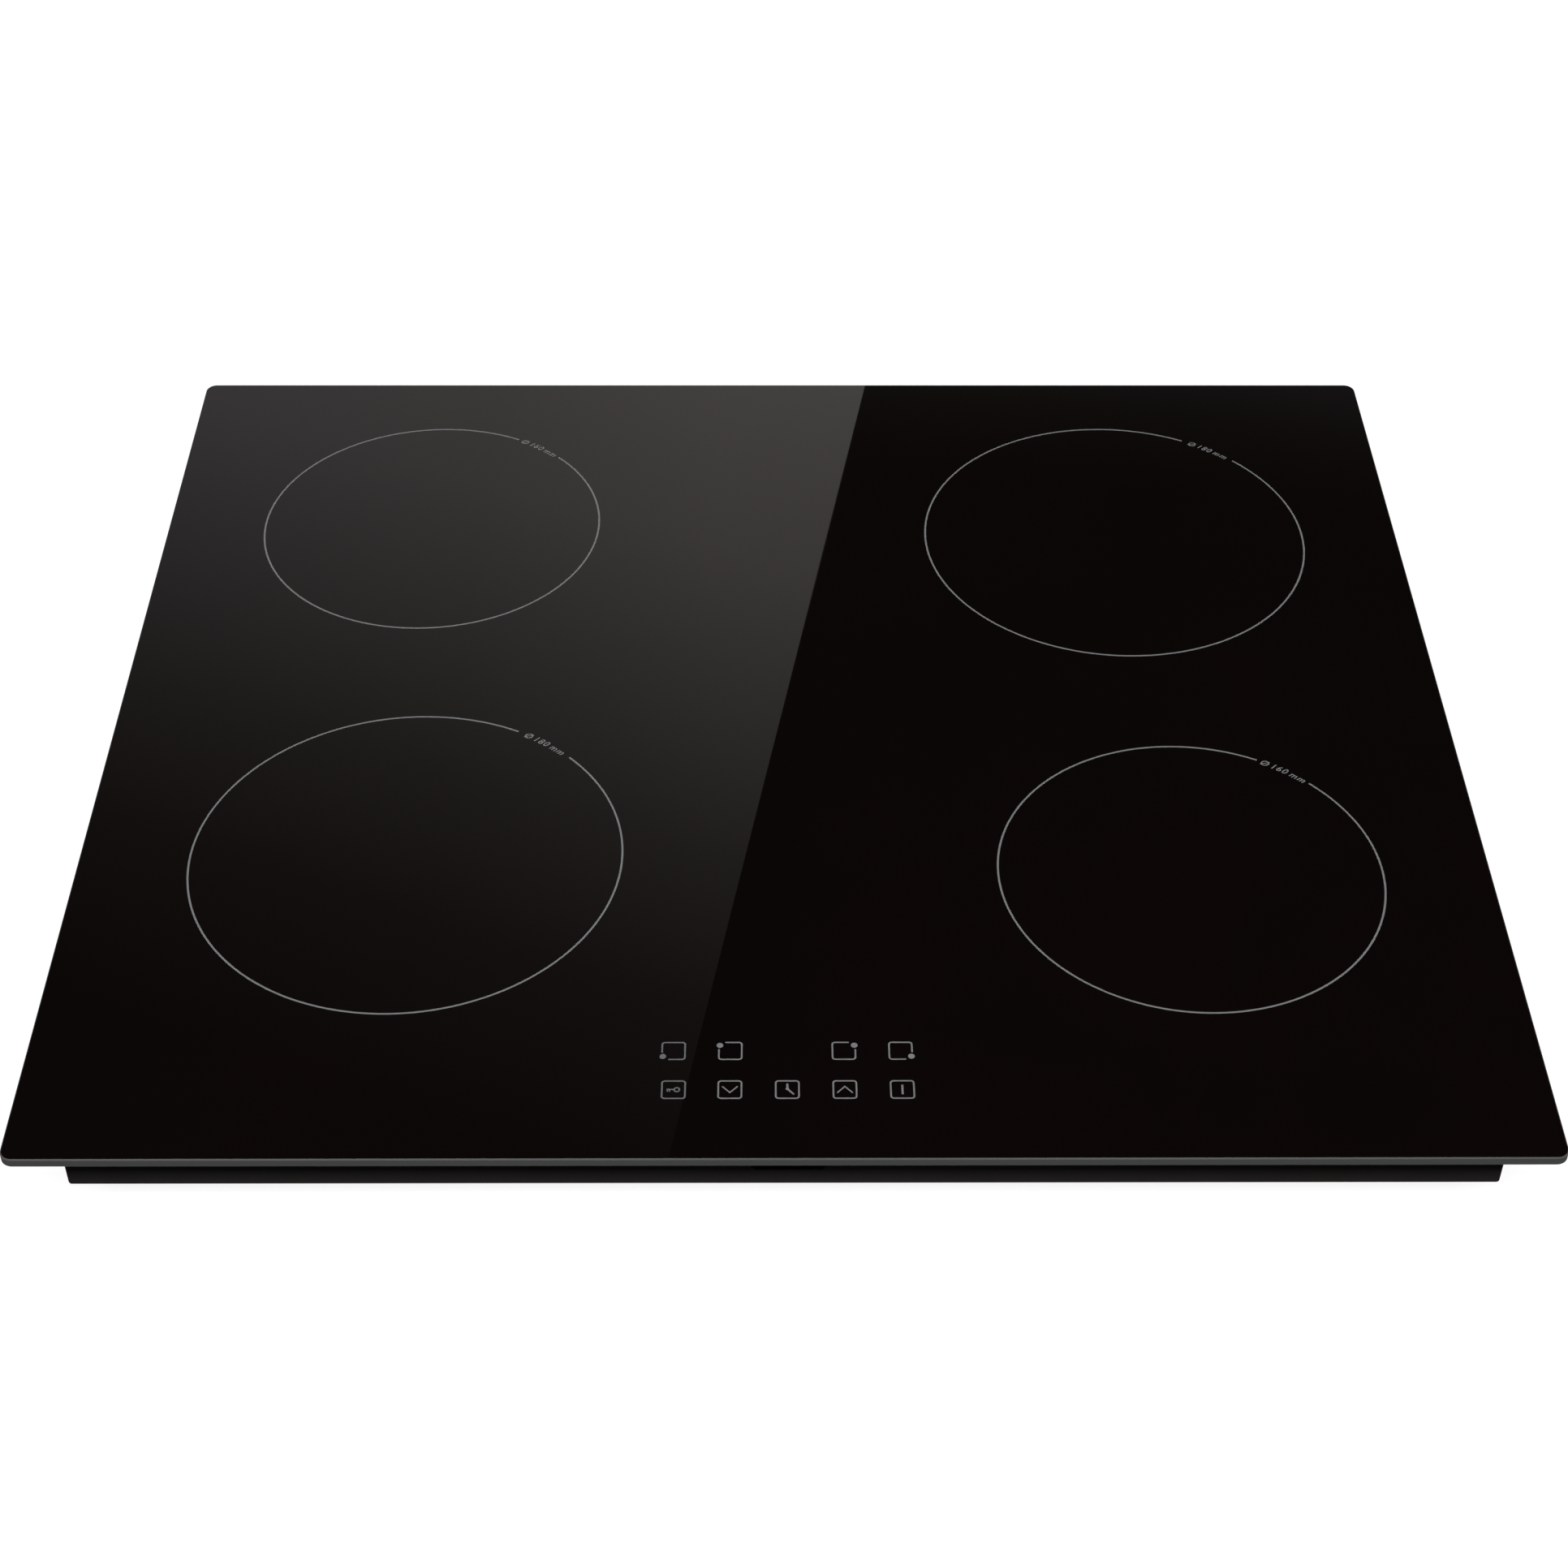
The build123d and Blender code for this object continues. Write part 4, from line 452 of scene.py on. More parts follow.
def ribbon_jacket():
    """Flat cable: a row of round cores in a grey jacket, painted darker in the grooves between the cores as
    painted shade.
    """
    look = Look("ribbon_jacket")
    cores = look.bands(1.27, "X")
    # Painted shade: the grey jacket is darker in the grooves between the cores.
    look.give("Base Color", look.ramp(cores, (0.1, (0.3, 0.31, 0.33)), (0.6, (0.5, 0.51, 0.53))))
    look.uneven(5, 0.4, 0.52)
    look.bump(cores, 0.5, 0.3)
    return look.material


def wire_jackets():
    """Three insulated wires: brown, blue and green with a yellow stripe, by their place."""
    look = Look("wire_jacket")
    where = look.along("X")
    brown_or_blue = look.mix(look.math("GREATER_THAN", where, -0.018), (0.16, 0.06, 0.025), (0.02, 0.08, 0.3))
    yellow = look.math("GREATER_THAN", look.bands(7.0, "Y"), 0.5)
    stripe = look.mix(yellow, (0.04, 0.24, 0.05), (0.7, 0.58, 0.04))
    colour = look.mix(look.math("GREATER_THAN", where, -0.006), brown_or_blue, stripe)
    patches = look.ramp(look.noise(6, 3.0), (0.3, (0.85, 0.85, 0.85)), (0.7, (1.0, 1.0, 1.0)))
    look.give("Base Color", look.mix(1.0, colour, patches, "MULTIPLY"))
    look.uneven(4, 0.35, 0.5)
    return look.material


def build_materials():
    """One material for every slot of the record."""
    level = (1, 14, 1)
    return {
        "black_glass": black_glass(),
        "seal_foam": foam("seal_foam", (0.032, 0.032, 0.033), 0.6),
        "silicone_bead": moulded("silicone_bead", (0.018, 0.018, 0.019), 0.55, 0.7, 1.5),
        "zinc_sheet": rolled_sheet("zinc_sheet", (0.6, 0.61, 0.62), 0.3, 0.45, level, 9.0),
        "tray_paint": tray_paint(),
        "screw_steel": rolled_sheet("screw_steel", (0.58, 0.58, 0.57), 0.25, 0.4, (1, 1, 1), 1.2),
        "litz_copper": litz_copper(),
        "former_plastic": moulded("former_plastic", (0.7, 0.67, 0.6)),
        "mica_felt": fibre_sheet(),
        "ferrite": ferrite(),
        "sensor_body": moulded("sensor_body", (0.76, 0.76, 0.73), 0.22, 0.34),
        "spring_steel": rolled_sheet("spring_steel", (0.5, 0.51, 0.53), 0.2, 0.32, (14, 1, 1)),
        "lead_sleeve": woven_sleeve(),
        "contact_brass": rolled_sheet("contact_brass", (0.72, 0.56, 0.26), 0.25, 0.4, (1, 1, 6)),
        "sheet_aluminium": rolled_sheet("sheet_aluminium", (0.8, 0.81, 0.82), 0.3, 0.44, level),
        "circuit_board": circuit_board(),
        "nylon": moulded("nylon", (0.74, 0.73, 0.69), 0.38, 0.5, 0.5, Subsurface_Weight=0.1),
        "extruded_aluminium": rolled_sheet("extruded_aluminium", (0.72, 0.73, 0.75), 0.32, 0.48, (20, 1, 20)),
        "semiconductor": moulded("semiconductor", (0.022, 0.022, 0.023), 0.5, 0.65, 0.25),
        "capacitor_case": moulded("capacitor_case", (0.62, 0.44, 0.06), 0.2, 0.32),
        "choke_winding": choke_wire(),
        "fuse_metal": rolled_sheet("fuse_metal", (0.74, 0.73, 0.7), 0.16, 0.28, (1, 1, 1)),
        "blower_plastic": moulded("blower_plastic", (0.026, 0.026, 0.027)),
        "impeller_plastic": moulded("impeller_plastic", (0.06, 0.06, 0.063), 0.36, 0.5),
        "shaft_steel": rolled_sheet("shaft_steel", (0.64, 0.64, 0.65), 0.14, 0.24, (1, 1, 30)),
        "stator_core": laminations(),
        "box_plastic": moulded("box_plastic", (0.046, 0.046, 0.047), 0.4, 0.56, 0.45),
        "terminal_plastic": moulded("terminal_plastic", (0.62, 0.62, 0.59), 0.4, 0.52),
        "pad_foam": foam("pad_foam", (0.06, 0.06, 0.062), 0.5),
        "display_plastic": moulded("display_plastic", (0.1, 0.012, 0.012), 0.12, 0.2, 0.8),
        "holder_plastic": moulded("holder_plastic", (0.7, 0.7, 0.68)),
        "ribbon_jacket": ribbon_jacket(),
        "wire_jacket": wire_jackets(),
    }


# Meshes


def add_piece(name, mesh, materials, body, replaced=()):
    """A new piece that rides on a body, takes the given materials and may stand for CAD nodes."""
    for material in materials:
        mesh.materials.append(material)
    piece = bpy.data.objects.new(name, mesh)
    SCENE.collection.objects.link(piece)
    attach(piece, body)
    if replaced:
        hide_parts(*replaced)
    return piece


class Shape:
    """Points in millimetres and faces, gathered into one mesh."""

    def __init__(self):
        self.points = []
        self.faces = []
        self.face_material = []
        self.uvs = []

    def face(self, corners, material=0, uvs=None):
        self.faces.append(tuple(corners))
        self.face_material.append(material)
        self.uvs.extend(uvs or [(0.0, 0.0)] * len(corners))

    def mesh(self, name, smooth=True):
        mesh = bpy.data.meshes.new(name)
        mesh.from_pydata([(x * MM, y * MM, z * MM) for x, y, z in self.points], [], self.faces)
        mesh.polygons.foreach_set("material_index", self.face_material)
        mesh.polygons.foreach_set("use_smooth", [smooth] * len(self.faces))
        layer = mesh.uv_layers.new(name="along")
        layer.data.foreach_set("uv", [value for uv in self.uvs for value in uv])
        mesh.update()
        return mesh

    def tube(self, rings, closed, material=0, turns=None):
        """A skin over rings of points, all with the same number of points."""
        first = len(self.points)
        count = len(rings[0])
        for ring in rings:
            self.points.extend(ring)
        steps = len(rings) if closed else len(rings) - 1
        turns = turns or [i / len(rings) for i in range(len(rings) + 1)]
        for i in range(steps):
            here = first + i * count
            there = first + (i + 1) % len(rings) * count
            for j in range(count):
                k = (j + 1) % count
                low, high = j / count, (j + 1) / count
                corners = (here + j, here + k, there + k, there + j)
                after = turns[min(i + 1, len(turns) - 1)]
                uvs = [(turns[i], low), (turns[i], high), (after, high), (after, low)]
                self.face(corners, material, uvs)
        if not closed:
            last = first + (len(rings) - 1) * count
            self.face([first + j for j in reversed(range(count))], material)
            self.face([last + j for j in range(count)], material)


class Enamel(Shape):
    """Flat printed strokes with a little thickness, on the top of the glass."""

    def __init__(self):
        super().__init__()
        self.strokes = 0

    def levels(self):
        """Underside and top of the next stroke. Strokes that cross lie at heights of their own."""
        step = STROKE_STEP * (self.strokes % 4)
        self.strokes += 1
        return GLASS_TOP - PRINT_SUNK - step, GLASS_TOP + PRINT_PROUD + step

    def band(self, path, width, closed=False):
        """A line of even width along points."""
        sides = []
        count = len(path)
        for i, (x, y) in enumerate(path):
            before = path[i - 1] if closed or i else path[i]
            after = path[(i + 1) % count] if closed or i < count - 1 else path[i]
            dx, dy = after[0] - before[0], after[1] - before[1]
            length = hypot(dx, dy)
            across = self.miter(before, (x, y), after) * width / 2
            nx, ny = -dy / length * across, dx / length * across
            sides.append(((x - nx, y - ny), (x + nx, y + ny)))
        first = len(self.points)
        low, high = self.levels()
        for right, left in sides:
            for x, y in (right, left):
                self.points.append((x, y, low))
                self.points.append((x, y, high))
        steps = count if closed else count - 1
        for i in range(steps):
            here = first + 4 * i
            there = first + 4 * ((i + 1) % count)
            self.face((here + 1, there + 1, there + 3, here + 3))
            self.face((here + 2, there + 2, there, here))
            self.face((here, there, there + 1, here + 1))
            self.face((there + 2, here + 2, here + 3, there + 3))
        if not closed:
            last = first + 4 * (count - 1)
            self.face((first + 2, first, first + 1, first + 3))
            self.face((last, last + 2, last + 3, last + 1))

    @staticmethod
    def miter(before, point, after):
        """How much wider the band is cut at a corner so that its arms keep their width."""
        ax, ay = point[0] - before[0], point[1] - before[1]
        bx, by = after[0] - point[0], after[1] - point[1]
        a, b = hypot(ax, ay), hypot(bx, by)
        if a == 0 or b == 0:
            return 1.0
        turn = max(-1.0, min(1.0, (ax * bx + ay * by) / (a * b)))
        return 1.0 / max(0.5, ((1 + turn) / 2) ** 0.5)

    def dot(self, x, y, radius, sides=40):
        first = len(self.points)
        low, high = self.levels()
        for i in range(sides):
            angle = 2 * pi * i / sides
            place = (x + radius * cos(angle), y + radius * sin(angle))
            self.points.append((*place, low))
            self.points.append((*place, high))
        self.face([first + 2 * i + 1 for i in range(sides)])
        self.face([first + 2 * i for i in reversed(range(sides))])
        for i in range(sides):
            here, there = first + 2 * i, first + 2 * ((i + 1) % sides)
            self.face((here, there, there + 1, here + 1))

    def glyph(self, text, x, y, angle):
        """One slanted figure or letter of a size mark, with its middle at a point."""
        curve = bpy.data.curves.new("number", "FONT")
        curve.body = text
        curve.size = NUMBER_SIZE
        curve.shear = 0.22
        curve.offset = 0.05
        curve.align_x = "CENTER"
        curve.align_y = "CENTER"
        curve.extrude = (PRINT_SUNK + PRINT_PROUD) / 2
        holder = bpy.data.objects.new("number", curve)
        SCENE.collection.objects.link(holder)
        solid = bpy.data.meshes.new_from_object(holder.evaluated_get(bpy.context.evaluated_depsgraph_get()))
        turn = Matrix.Rotation(radians(angle), 4, "Z")
        place = Matrix.Translation((x, y, GLASS_TOP + (PRINT_PROUD - PRINT_SUNK) / 2)) @ turn
        first = len(self.points)
        self.points.extend(tuple(place @ vertex.co) for vertex in solid.vertices)
        for polygon in solid.polygons:
            self.face([first + index for index in polygon.vertices])
        bpy.data.objects.remove(holder)
        bpy.data.meshes.remove(solid)
        bpy.data.curves.remove(curve)


def arc(x, y, radius, start, end, step=1.5):
    """Points along an arc, angles in degrees."""
    count = max(2, ceil(abs(end - start) / step))
    angles = [radians(start + (end - start) * i / count) for i in range(count + 1)]
    return [(x + radius * cos(a), y + radius * sin(a)) for a in angles]


def zone_rings():
    """Four rings, each open at its upper right for the zone's size, which follows the ring."""
    enamel = Enamel()
    for zone_x, zone_y, diameter, mark in ZONE_RINGS.values():
        x = zone_x + RING_SHIFT[0]
        y = zone_y + RING_SHIFT[1]
        enamel.band(arc(x, y, diameter / 2, RING_GAP_END, RING_GAP_START + 360), RING_LINE)
        line = diameter / 2 - NUMBER_BELOW_RING
        advances = [GLYPH_ADVANCE.get(glyph, DIGIT_ADVANCE) for glyph in mark]
        run = -sum(advances) / 2
        for glyph, advance in zip(mark, advances):
            turn = (run + advance / 2) / line
            angle = radians((RING_GAP_START + RING_GAP_END) / 2) - turn
            if glyph != " ":
                enamel.glyph(glyph, x + line * cos(angle), y + line * sin(angle), angle * 180 / pi - 90)
            run += advance
    return enamel


def key_outline():
    """A closed square with rounded corners about the origin, starting at the left side's foot."""
    inner = KEY_HALF - KEY_CORNER
    path = []
    for x, y, start in ((-1, 1, 180), (1, 1, 90), (1, -1, 0), (-1, -1, -90)):
        path += arc(x * inner, y * inner, KEY_CORNER, start, start - 90, 15)
    return path


def open_key_outline():
    """The square with its lower left corner taken out for the dot."""
    inner = KEY_HALF - KEY_CORNER
    path = [(-KEY_HALF, OPEN_KEY_SIDE_END)]
    for x, y, start in ((-1, 1, 180), (1, 1, 90), (1, -1, 0)):
        path += arc(x * inner, y * inner, KEY_CORNER, start, start - 90, 15)
    return path + [(OPEN_KEY_FOOT_END, -KEY_HALF)]


def moved(path, x, y, flip_x=1, flip_y=1):
    return [(x + flip_x * px, y + flip_y * py) for px, py in path]


def key_symbols():
    """Two rows of touch keys: zone choice behind, lock, down, timer, up and power in front."""
    enamel = Enamel()
    row = KEY_ROW_REAR_Y
    for step, flip_x, flip_y in ((-2, 1, 1), (-1, 1, -1), (1, -1, -1), (2, -1, 1)):
        x = KEY_MIDDLE_X + step * KEY_PITCH
        outline = moved(open_key_outline(), x, row, flip_x, flip_y)
        enamel.band(outline if flip_x * flip_y > 0 else outline[::-1], KEY_LINE)
        enamel.dot(x - flip_x * KEY_DOT_X, row - flip_y * KEY_DOT_Y, KEY_DOT_RADIUS)
    row = KEY_ROW_FRONT_Y
    steps = (LOCK_STEP, -1, 0, 1, 2)
    lock, down, timer, up, power = (KEY_MIDDLE_X + step * KEY_PITCH for step in steps)
    for x in (lock, down, timer, up, power):
        enamel.band(moved(key_outline(), x, row), KEY_LINE, closed=True)
    eye = arc(lock + LOCK_EYE_X, row, LOCK_EYE_RADIUS, 180, -180, 12)[:-1]
    enamel.band(eye, SYMBOL_LINE, closed=True)
    enamel.band(moved(LOCK_SHANK, lock, row), SYMBOL_LINE)
    for tooth in LOCK_TEETH:
        enamel.band(moved([(tooth, LOCK_TOOTH_TOP), (tooth, LOCK_TOOTH_END)], lock, row), SYMBOL_LINE)
    enamel.band(moved(DOWN_ARROW, down, row), SYMBOL_LINE)
    enamel.band(moved(UP_ARROW, up, row), SYMBOL_LINE)
    enamel.band(moved(TIMER_LONG_HAND, timer, row), TIMER_LONG_LINE)
    enamel.band(moved(TIMER_SHORT_HAND, timer, row), TIMER_SHORT_LINE)
    enamel.dot(timer, row + TIMER_HUB_Y, TIMER_HUB_RADIUS)
    enamel.band(moved(POWER_BAR, power, row), POWER_LINE)
    return enamel


def spiral(radius, turns):
    """The winding's line: half circles about two centres, with a short straight run at each end."""
    outer = radius - WIRE_RADIUS
    inner = outer - turns * TURN_PITCH
    line = [(inner, -2 * WIRE_RADIUS), (inner, -WIRE_RADIUS)]
    for half_turn in range(2 * turns):
        odd = half_turn % 2
        size = inner + half_turn * TURN_PITCH / 2
        step = RING_SPACING / size * 180 / pi
        line += arc(odd * TURN_PITCH / 2, 0, size, 180 * odd, 180 * odd + 180, step)[:-1]
    return line + [(outer, 0), (outer, WIRE_RADIUS), (outer, 2 * WIRE_RADIUS)]


def litz_winding(x, y, radius, turns):
    """A bundle of strands twisted about its line, each strand a ridge along the bundle."""
    line = spiral(radius, turns)
    sides = 2 * STRAND_LOBES
    rings = []
    laid = []
    run = 0.0
    for i, (px, py) in enumerate(line):
        before, after = line[max(0, i - 1)], line[min(len(line) - 1, i + 1)]
        dx, dy = after[0] - before[0], after[1] - before[1]
        length = hypot(dx, dy)
        nx, ny = -dy / length, dx / length
        run += hypot(px - line[i - 1][0], py - line[i - 1][1]) if i else 0.0
        twist = 2 * pi * run / STRAND_LAY
        ring = []
        for j in range(sides):
            angle = twist + 2 * pi * j / sides
            reach = WIRE_RADIUS * (STRAND_VALLEY if j % 2 else 1.0)
            out, up = reach * cos(angle), reach * sin(angle)
            ring.append((x + px + nx * out, y + py + ny * out, WINDING_LEVEL + up))
        rings.append(ring)
        laid.append(run / STRAND_LAY)
    shape = Shape()
    shape.tube(rings, False, turns=laid)
    return shape


def lathe(shape, x, y, profile, sides=72, material=0):
    """A ring or disc about an upright axis, from a closed outline of (radius, height)."""
    rings = []
    for i in range(sides):
        angle = 2 * pi * i / sides
        rings.append([(x + r * cos(angle), y + r * sin(angle), z) for r, z in profile])
    shape.tube(rings, True, material)


def rounded_outline(low, high, bottom, top, radius, steps=4):
    """Closed outline of a rectangle with rounded corners, in (radius, height)."""
    outline = []
    for r, z, start in (
        (high - radius, bottom + radius, -90),
        (high - radius, top - radius, 0),
        (low + radius, top - radius, 90),
        (low + radius, bottom + radius, 180),
    ):
        outline += arc(r, z, radius, start, start + 90, 90 / steps)
    return outline


def wound_choke(shape, x, y, windings):
    """A lacquered ring core with wire wound through its bore, in one or more windings."""
    wire = CHOKE_WIRE
    top = CHOKE_FLOOR + CHOKE_HEIGHT
    skin = 2 * wire
    core = rounded_outline(
        CHOKE_BORE + skin, CHOKE_RADIUS - skin, CHOKE_FLOOR + skin, top - skin, CHOKE_CORE_EDGE
    )
    lathe(shape, x, y, core, 96, 1)
    loop = rounded_outline(
        CHOKE_BORE + wire, CHOKE_RADIUS - wire, CHOKE_FLOOR + wire, top - wire, CHOKE_LOOP_EDGE, 3
    )
    for start, end, turns in windings:
        path = []
        total = turns * len(loop)
        for i in range(total + 1):
            angle = radians(start + (end - start) * i / total)
            r, z = loop[i % len(loop)]
            path.append(Vector((x + r * cos(angle), y + r * sin(angle), z)))
        wire_tube(shape, path, Vector((x, y, 0)), wire)


def wire_tube(shape, path, middle, radius, sides=8):
    """A round wire along points that wind about an upright axis."""
    rings = []
    for i, point in enumerate(path):
        along = (path[min(len(path) - 1, i + 1)] - path[max(0, i - 1)]).normalized()
        spoke = Vector((point.x - middle.x, point.y - middle.y, 0))
        side = Vector((-spoke.y, spoke.x, 0))
        side = (side - along * side.dot(along)).normalized()
        out = along.cross(side)
        ring = []
        for j in range(sides):
            angle = 2 * pi * j / sides
            ring.append(tuple(point + radius * (cos(angle) * side + sin(angle) * out)))
        rings.append(ring)
    shape.tube(rings, False)


def soft_strip(shape, xs, ys, zs, edge=0.8):
    """A strip of foam tape with pressed, rounded edges."""
    long_in_x = xs[1] - xs[0] > ys[1] - ys[0]
    low, high = ys if long_in_x else xs
    start, end = xs if long_in_x else ys
    section = rounded_outline(low, high, zs[0], zs[1], edge, 3)
    middle, level = (low + high) / 2, (zs[0] + zs[1]) / 2
    rings = []
    stations = (
        (start, STRIP_END_SIZE),
        (start + STRIP_END_INSET, STRIP_INSET_SIZE),
        (start + edge, 1.0),
        (end - edge, 1.0),
        (end - STRIP_END_INSET, STRIP_INSET_SIZE),
        (end, STRIP_END_SIZE),
    )
    for place, size in stations:
        ring = []
        for across, up in section:
            side = middle + (across - middle) * (1 - (1 - size) * edge * 2 / (high - low))
            height = level + (up - level) * size
            ring.append((place, side, height) if long_in_x else (side, place, height))
        rings.append(ring[::-1] if long_in_x else ring)
    shape.tube(rings[::-1] if long_in_x else rings, False)


def box_mm(node):
    """Lowest and highest corner of a CAD node, in millimetres."""
    low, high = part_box(node)
    return [c / MM for c in low], [c / MM for c in high]


def foam_seal():
    """Four strips of foam tape under the edge of the glass, butted at the corners."""
    low, high = box_mm("edge_seal")
    width = SEAL_WIDTH
    shape = Shape()
    levels = (low[2], high[2])
    for ys in ((low[1], low[1] + width), (high[1] - width, high[1])):
        soft_strip(shape, (low[0], high[0]), ys, levels)
    for xs in ((low[0], low[0] + width), (high[0] - width, high[0])):
        soft_strip(shape, xs, (low[1] + width, high[1] - width), levels)
    return shape


def silicone_bead():
    """A squeezed bead that runs round under the glass, with bulging sides."""
    low, high = box_mm("glass_adhesive")
    width, corner = BEAD_WIDTH, BEAD_CORNER
    x, y = high[0] - width / 2, high[1] - width / 2
    path = []
    for sx, sy, start in ((1, 1, 0), (-1, 1, 90), (-1, -1, 180), (1, -1, 270)):
        path += arc(sx * (x - corner), sy * (y - corner), corner, start, start + 90, 9)
    half = (high[2] - low[2]) / 2
    section = rounded_outline(-width / 2, width / 2, low[2], high[2], half * BEAD_BULGE, 4)
    rings = []
    for i, (px, py) in enumerate(path):
        before, after = path[i - 1], path[(i + 1) % len(path)]
        dx, dy = after[0] - before[0], after[1] - before[1]
        length = hypot(dx, dy)
        rings.append([(px + dy / length * out, py - dx / length * out, z) for out, z in section])
    shape = Shape()
    shape.tube(rings, True)
    return shape


def touch_pads():
    """Soft conductive pads, pressed to a barrel between the board and the glass."""
    low, high = box_mm("touch_pads")
    shape = Shape()
    bottom, top = low[2], high[2]
    places = [(step * KEY_PITCH, PAD_ROW_REAR_Y) for step in (-2, -1, 1, 2)]
    places += [(step * KEY_PITCH, PAD_ROW_FRONT_Y) for step in (-2, -1, 0, 1, 2)]
    for x, y in places:
        profile = [(PAD_MIDDLE, bottom)]
        for i, share in enumerate(PAD_BARREL):
            profile.append((PAD_RADIUS * share, bottom + (top - bottom) * i / (len(PAD_BARREL) - 1)))
        profile.append((PAD_MIDDLE, top))
        lathe(shape, x, y, profile, 36)
    return shape


def fibre_disc(zone):
    """A pressed fibre disc with soft edges and a hole for the sensor."""
    low, high = box_mm("insulation_disc_" + zone)
    x, y = (low[0] + high[0]) / 2, (low[1] + high[1]) / 2
    outline = rounded_outline(DISC_HOLE_RADIUS, (high[0] - low[0]) / 2, low[2], high[2], DISC_EDGE)
    shape = Shape()
    lathe(shape, x, y, outline, 120)
    return shape


# Object


def dress(materials):
    """Gives each CAD node the material of its slot."""
    for name, node in NODES.items():
        material = materials[SLOT_OF_NODE[name]]
        if not node.data.materials:
            node.data.materials.append(material)
        for index in range(len(node.data.materials)):
            node.data.materials[index] = material


def add_pieces(materials):
    """The print on the glass, and the wound and soft pieces that stand for their plain solids."""

    def add(name, shape, slot, replaced=(), finish=None, smooth=True):
        mesh = shape.mesh(name, smooth)
        return add_piece(name, mesh, finish or [materials[slot]], "chassis", replaced)

    ring_grey = print_enamel("ring_enamel", (0.21, 0.2135, 0.216))
    key_grey = print_enamel("key_enamel", (0.205, 0.2095, 0.214), shaded_left_end=True)
    add("print_rings", zone_rings(), "black_glass", finish=[ring_grey], smooth=False)
    add("print_keys", key_symbols(), "black_glass", finish=[key_grey], smooth=False)
    for zone, (radius, turns) in WINDINGS.items():
        x, y = ZONE_RINGS[zone][:2]
        winding = litz_winding(x, y, radius, turns)
        add("litz_" + zone, winding, "litz_copper", ["coil_winding_" + zone])
        add("fibre_disc_" + zone, fibre_disc(zone), "mica_felt", ["insulation_disc_" + zone])
    wound = [materials["choke_winding"], choke_core()]
    smoothing = Shape()
    for x, y in SMOOTHING_CHOKES:
        wound_choke(smoothing, x, y, SMOOTHING_WINDINGS)
    add("wound_smoothing_chokes", smoothing, "choke_winding", ["smoothing_chokes"], wound)
    common = Shape()
    wound_choke(common, *COMMON_CHOKE, COMMON_WINDINGS)
    add("wound_common_choke", common, "choke_winding", ["common_mode_choke"], wound)
    seal = add("foam_seal", foam_seal(), "seal_foam", ["edge_seal"])
    add("silicone_bead", silicone_bead(), "silicone_bead", ["glass_adhesive"])
    pads = add("soft_touch_pads", touch_pads(), "pad_foam", ["touch_pads"])


# Camera, floor and light. Sizes here are metres, but for the corners of the panel.

CAMERA_PLACE = Vector((-0.00548, -0.93676, 0.8502))
CAMERA_PITCH = radians(41.743)
CAMERA_YAW = radians(0.3743)
CAMERA_ROLL = radians(-0.2106)
FOCAL_PIXELS = 3396.3
PHOTO_PIXELS = 1932
SENSOR = 36.0
PANEL_HEIGHT = 1.4
PANEL_CORNERS = ((-59.9, -355.0), (60.2, 360.0), (-420.0, 360.0), (-420.0, -355.0))
PANEL_SLANT = 0.45
PANEL_RUN = (-0.3, 0.3)
PANEL_WARMTH = (1.06, 1.0, 0.98)
PANEL_STRENGTH = 1.06
PANEL_TONES = (
    (0.0, 0.02),
    (0.17, 0.07),
    (0.32, 0.18),
    (0.46, 0.325),
    (0.68, 0.53),
    (0.85, 0.6),
    (1.0, 0.66),
)
PANEL_DIM_SIDE = -0.29
PANEL_DIMMING = ((0.0, (0.74, 0.76, 0.76)), (0.5, (0.83, 0.84, 0.83)), (0.9, (1.0, 1.0, 1.0)))
FLOOR_HALF = 30.0
FLOOR_LEVEL = -0.0004
FLOOR_GLOW = 0.9
FLOOR_TONES = ((0.3, (0.19, 0.19, 0.19)), (0.7, (0.21, 0.21, 0.21)))
BACKDROP_RADIUS = 28.0
BACKDROP_HEIGHT = 14.0
BACKDROP_SIDES = 96
BACKDROP_FADE_START = 2.5
BACKDROP_TONES = (
    (0.0, (FLOOR_GLOW, FLOOR_GLOW, FLOOR_GLOW)),
    (0.4, (0.5, 0.5, 0.5)),
    (1.0, (0.158, 0.158, 0.158)),
)
STUDIO_TONES = (
    (-0.1, 0.01),
    (0.02, 0.08),
    (0.2, 0.24),
    (0.34, 0.2),
    (0.5, 0.14),
    (0.54, 0.07),
    (0.556, 0.03),
    (0.575, 0.011),
    (1.0, 0.006),
)
OBJECT_MIDDLE = (0, 0, 0.03)
# Name, place, target, size, power in watts, and whether polished pieces mirror it
LIGHTS = (
    ("key", (0.0, -2.43, 3.4), (0, -0.25, 0.05), (4.0, 0.7), 196, True),
    ("back_fill", (0.0, 3.0, -0.4), OBJECT_MIDDLE, (3.0, 0.8), 90, False),
    ("left_fill", (-3.0, 0.4, -0.4), OBJECT_MIDDLE, (2.4, 0.8), 40, False),
    ("right_fill", (3.0, 0.4, -0.4), OBJECT_MIDDLE, (2.4, 0.8), 48, False),
    ("under_fill", (0.9, 0.9, -0.8), (0, 0.05, 0), (0.4, 0.4), 12, False),
)


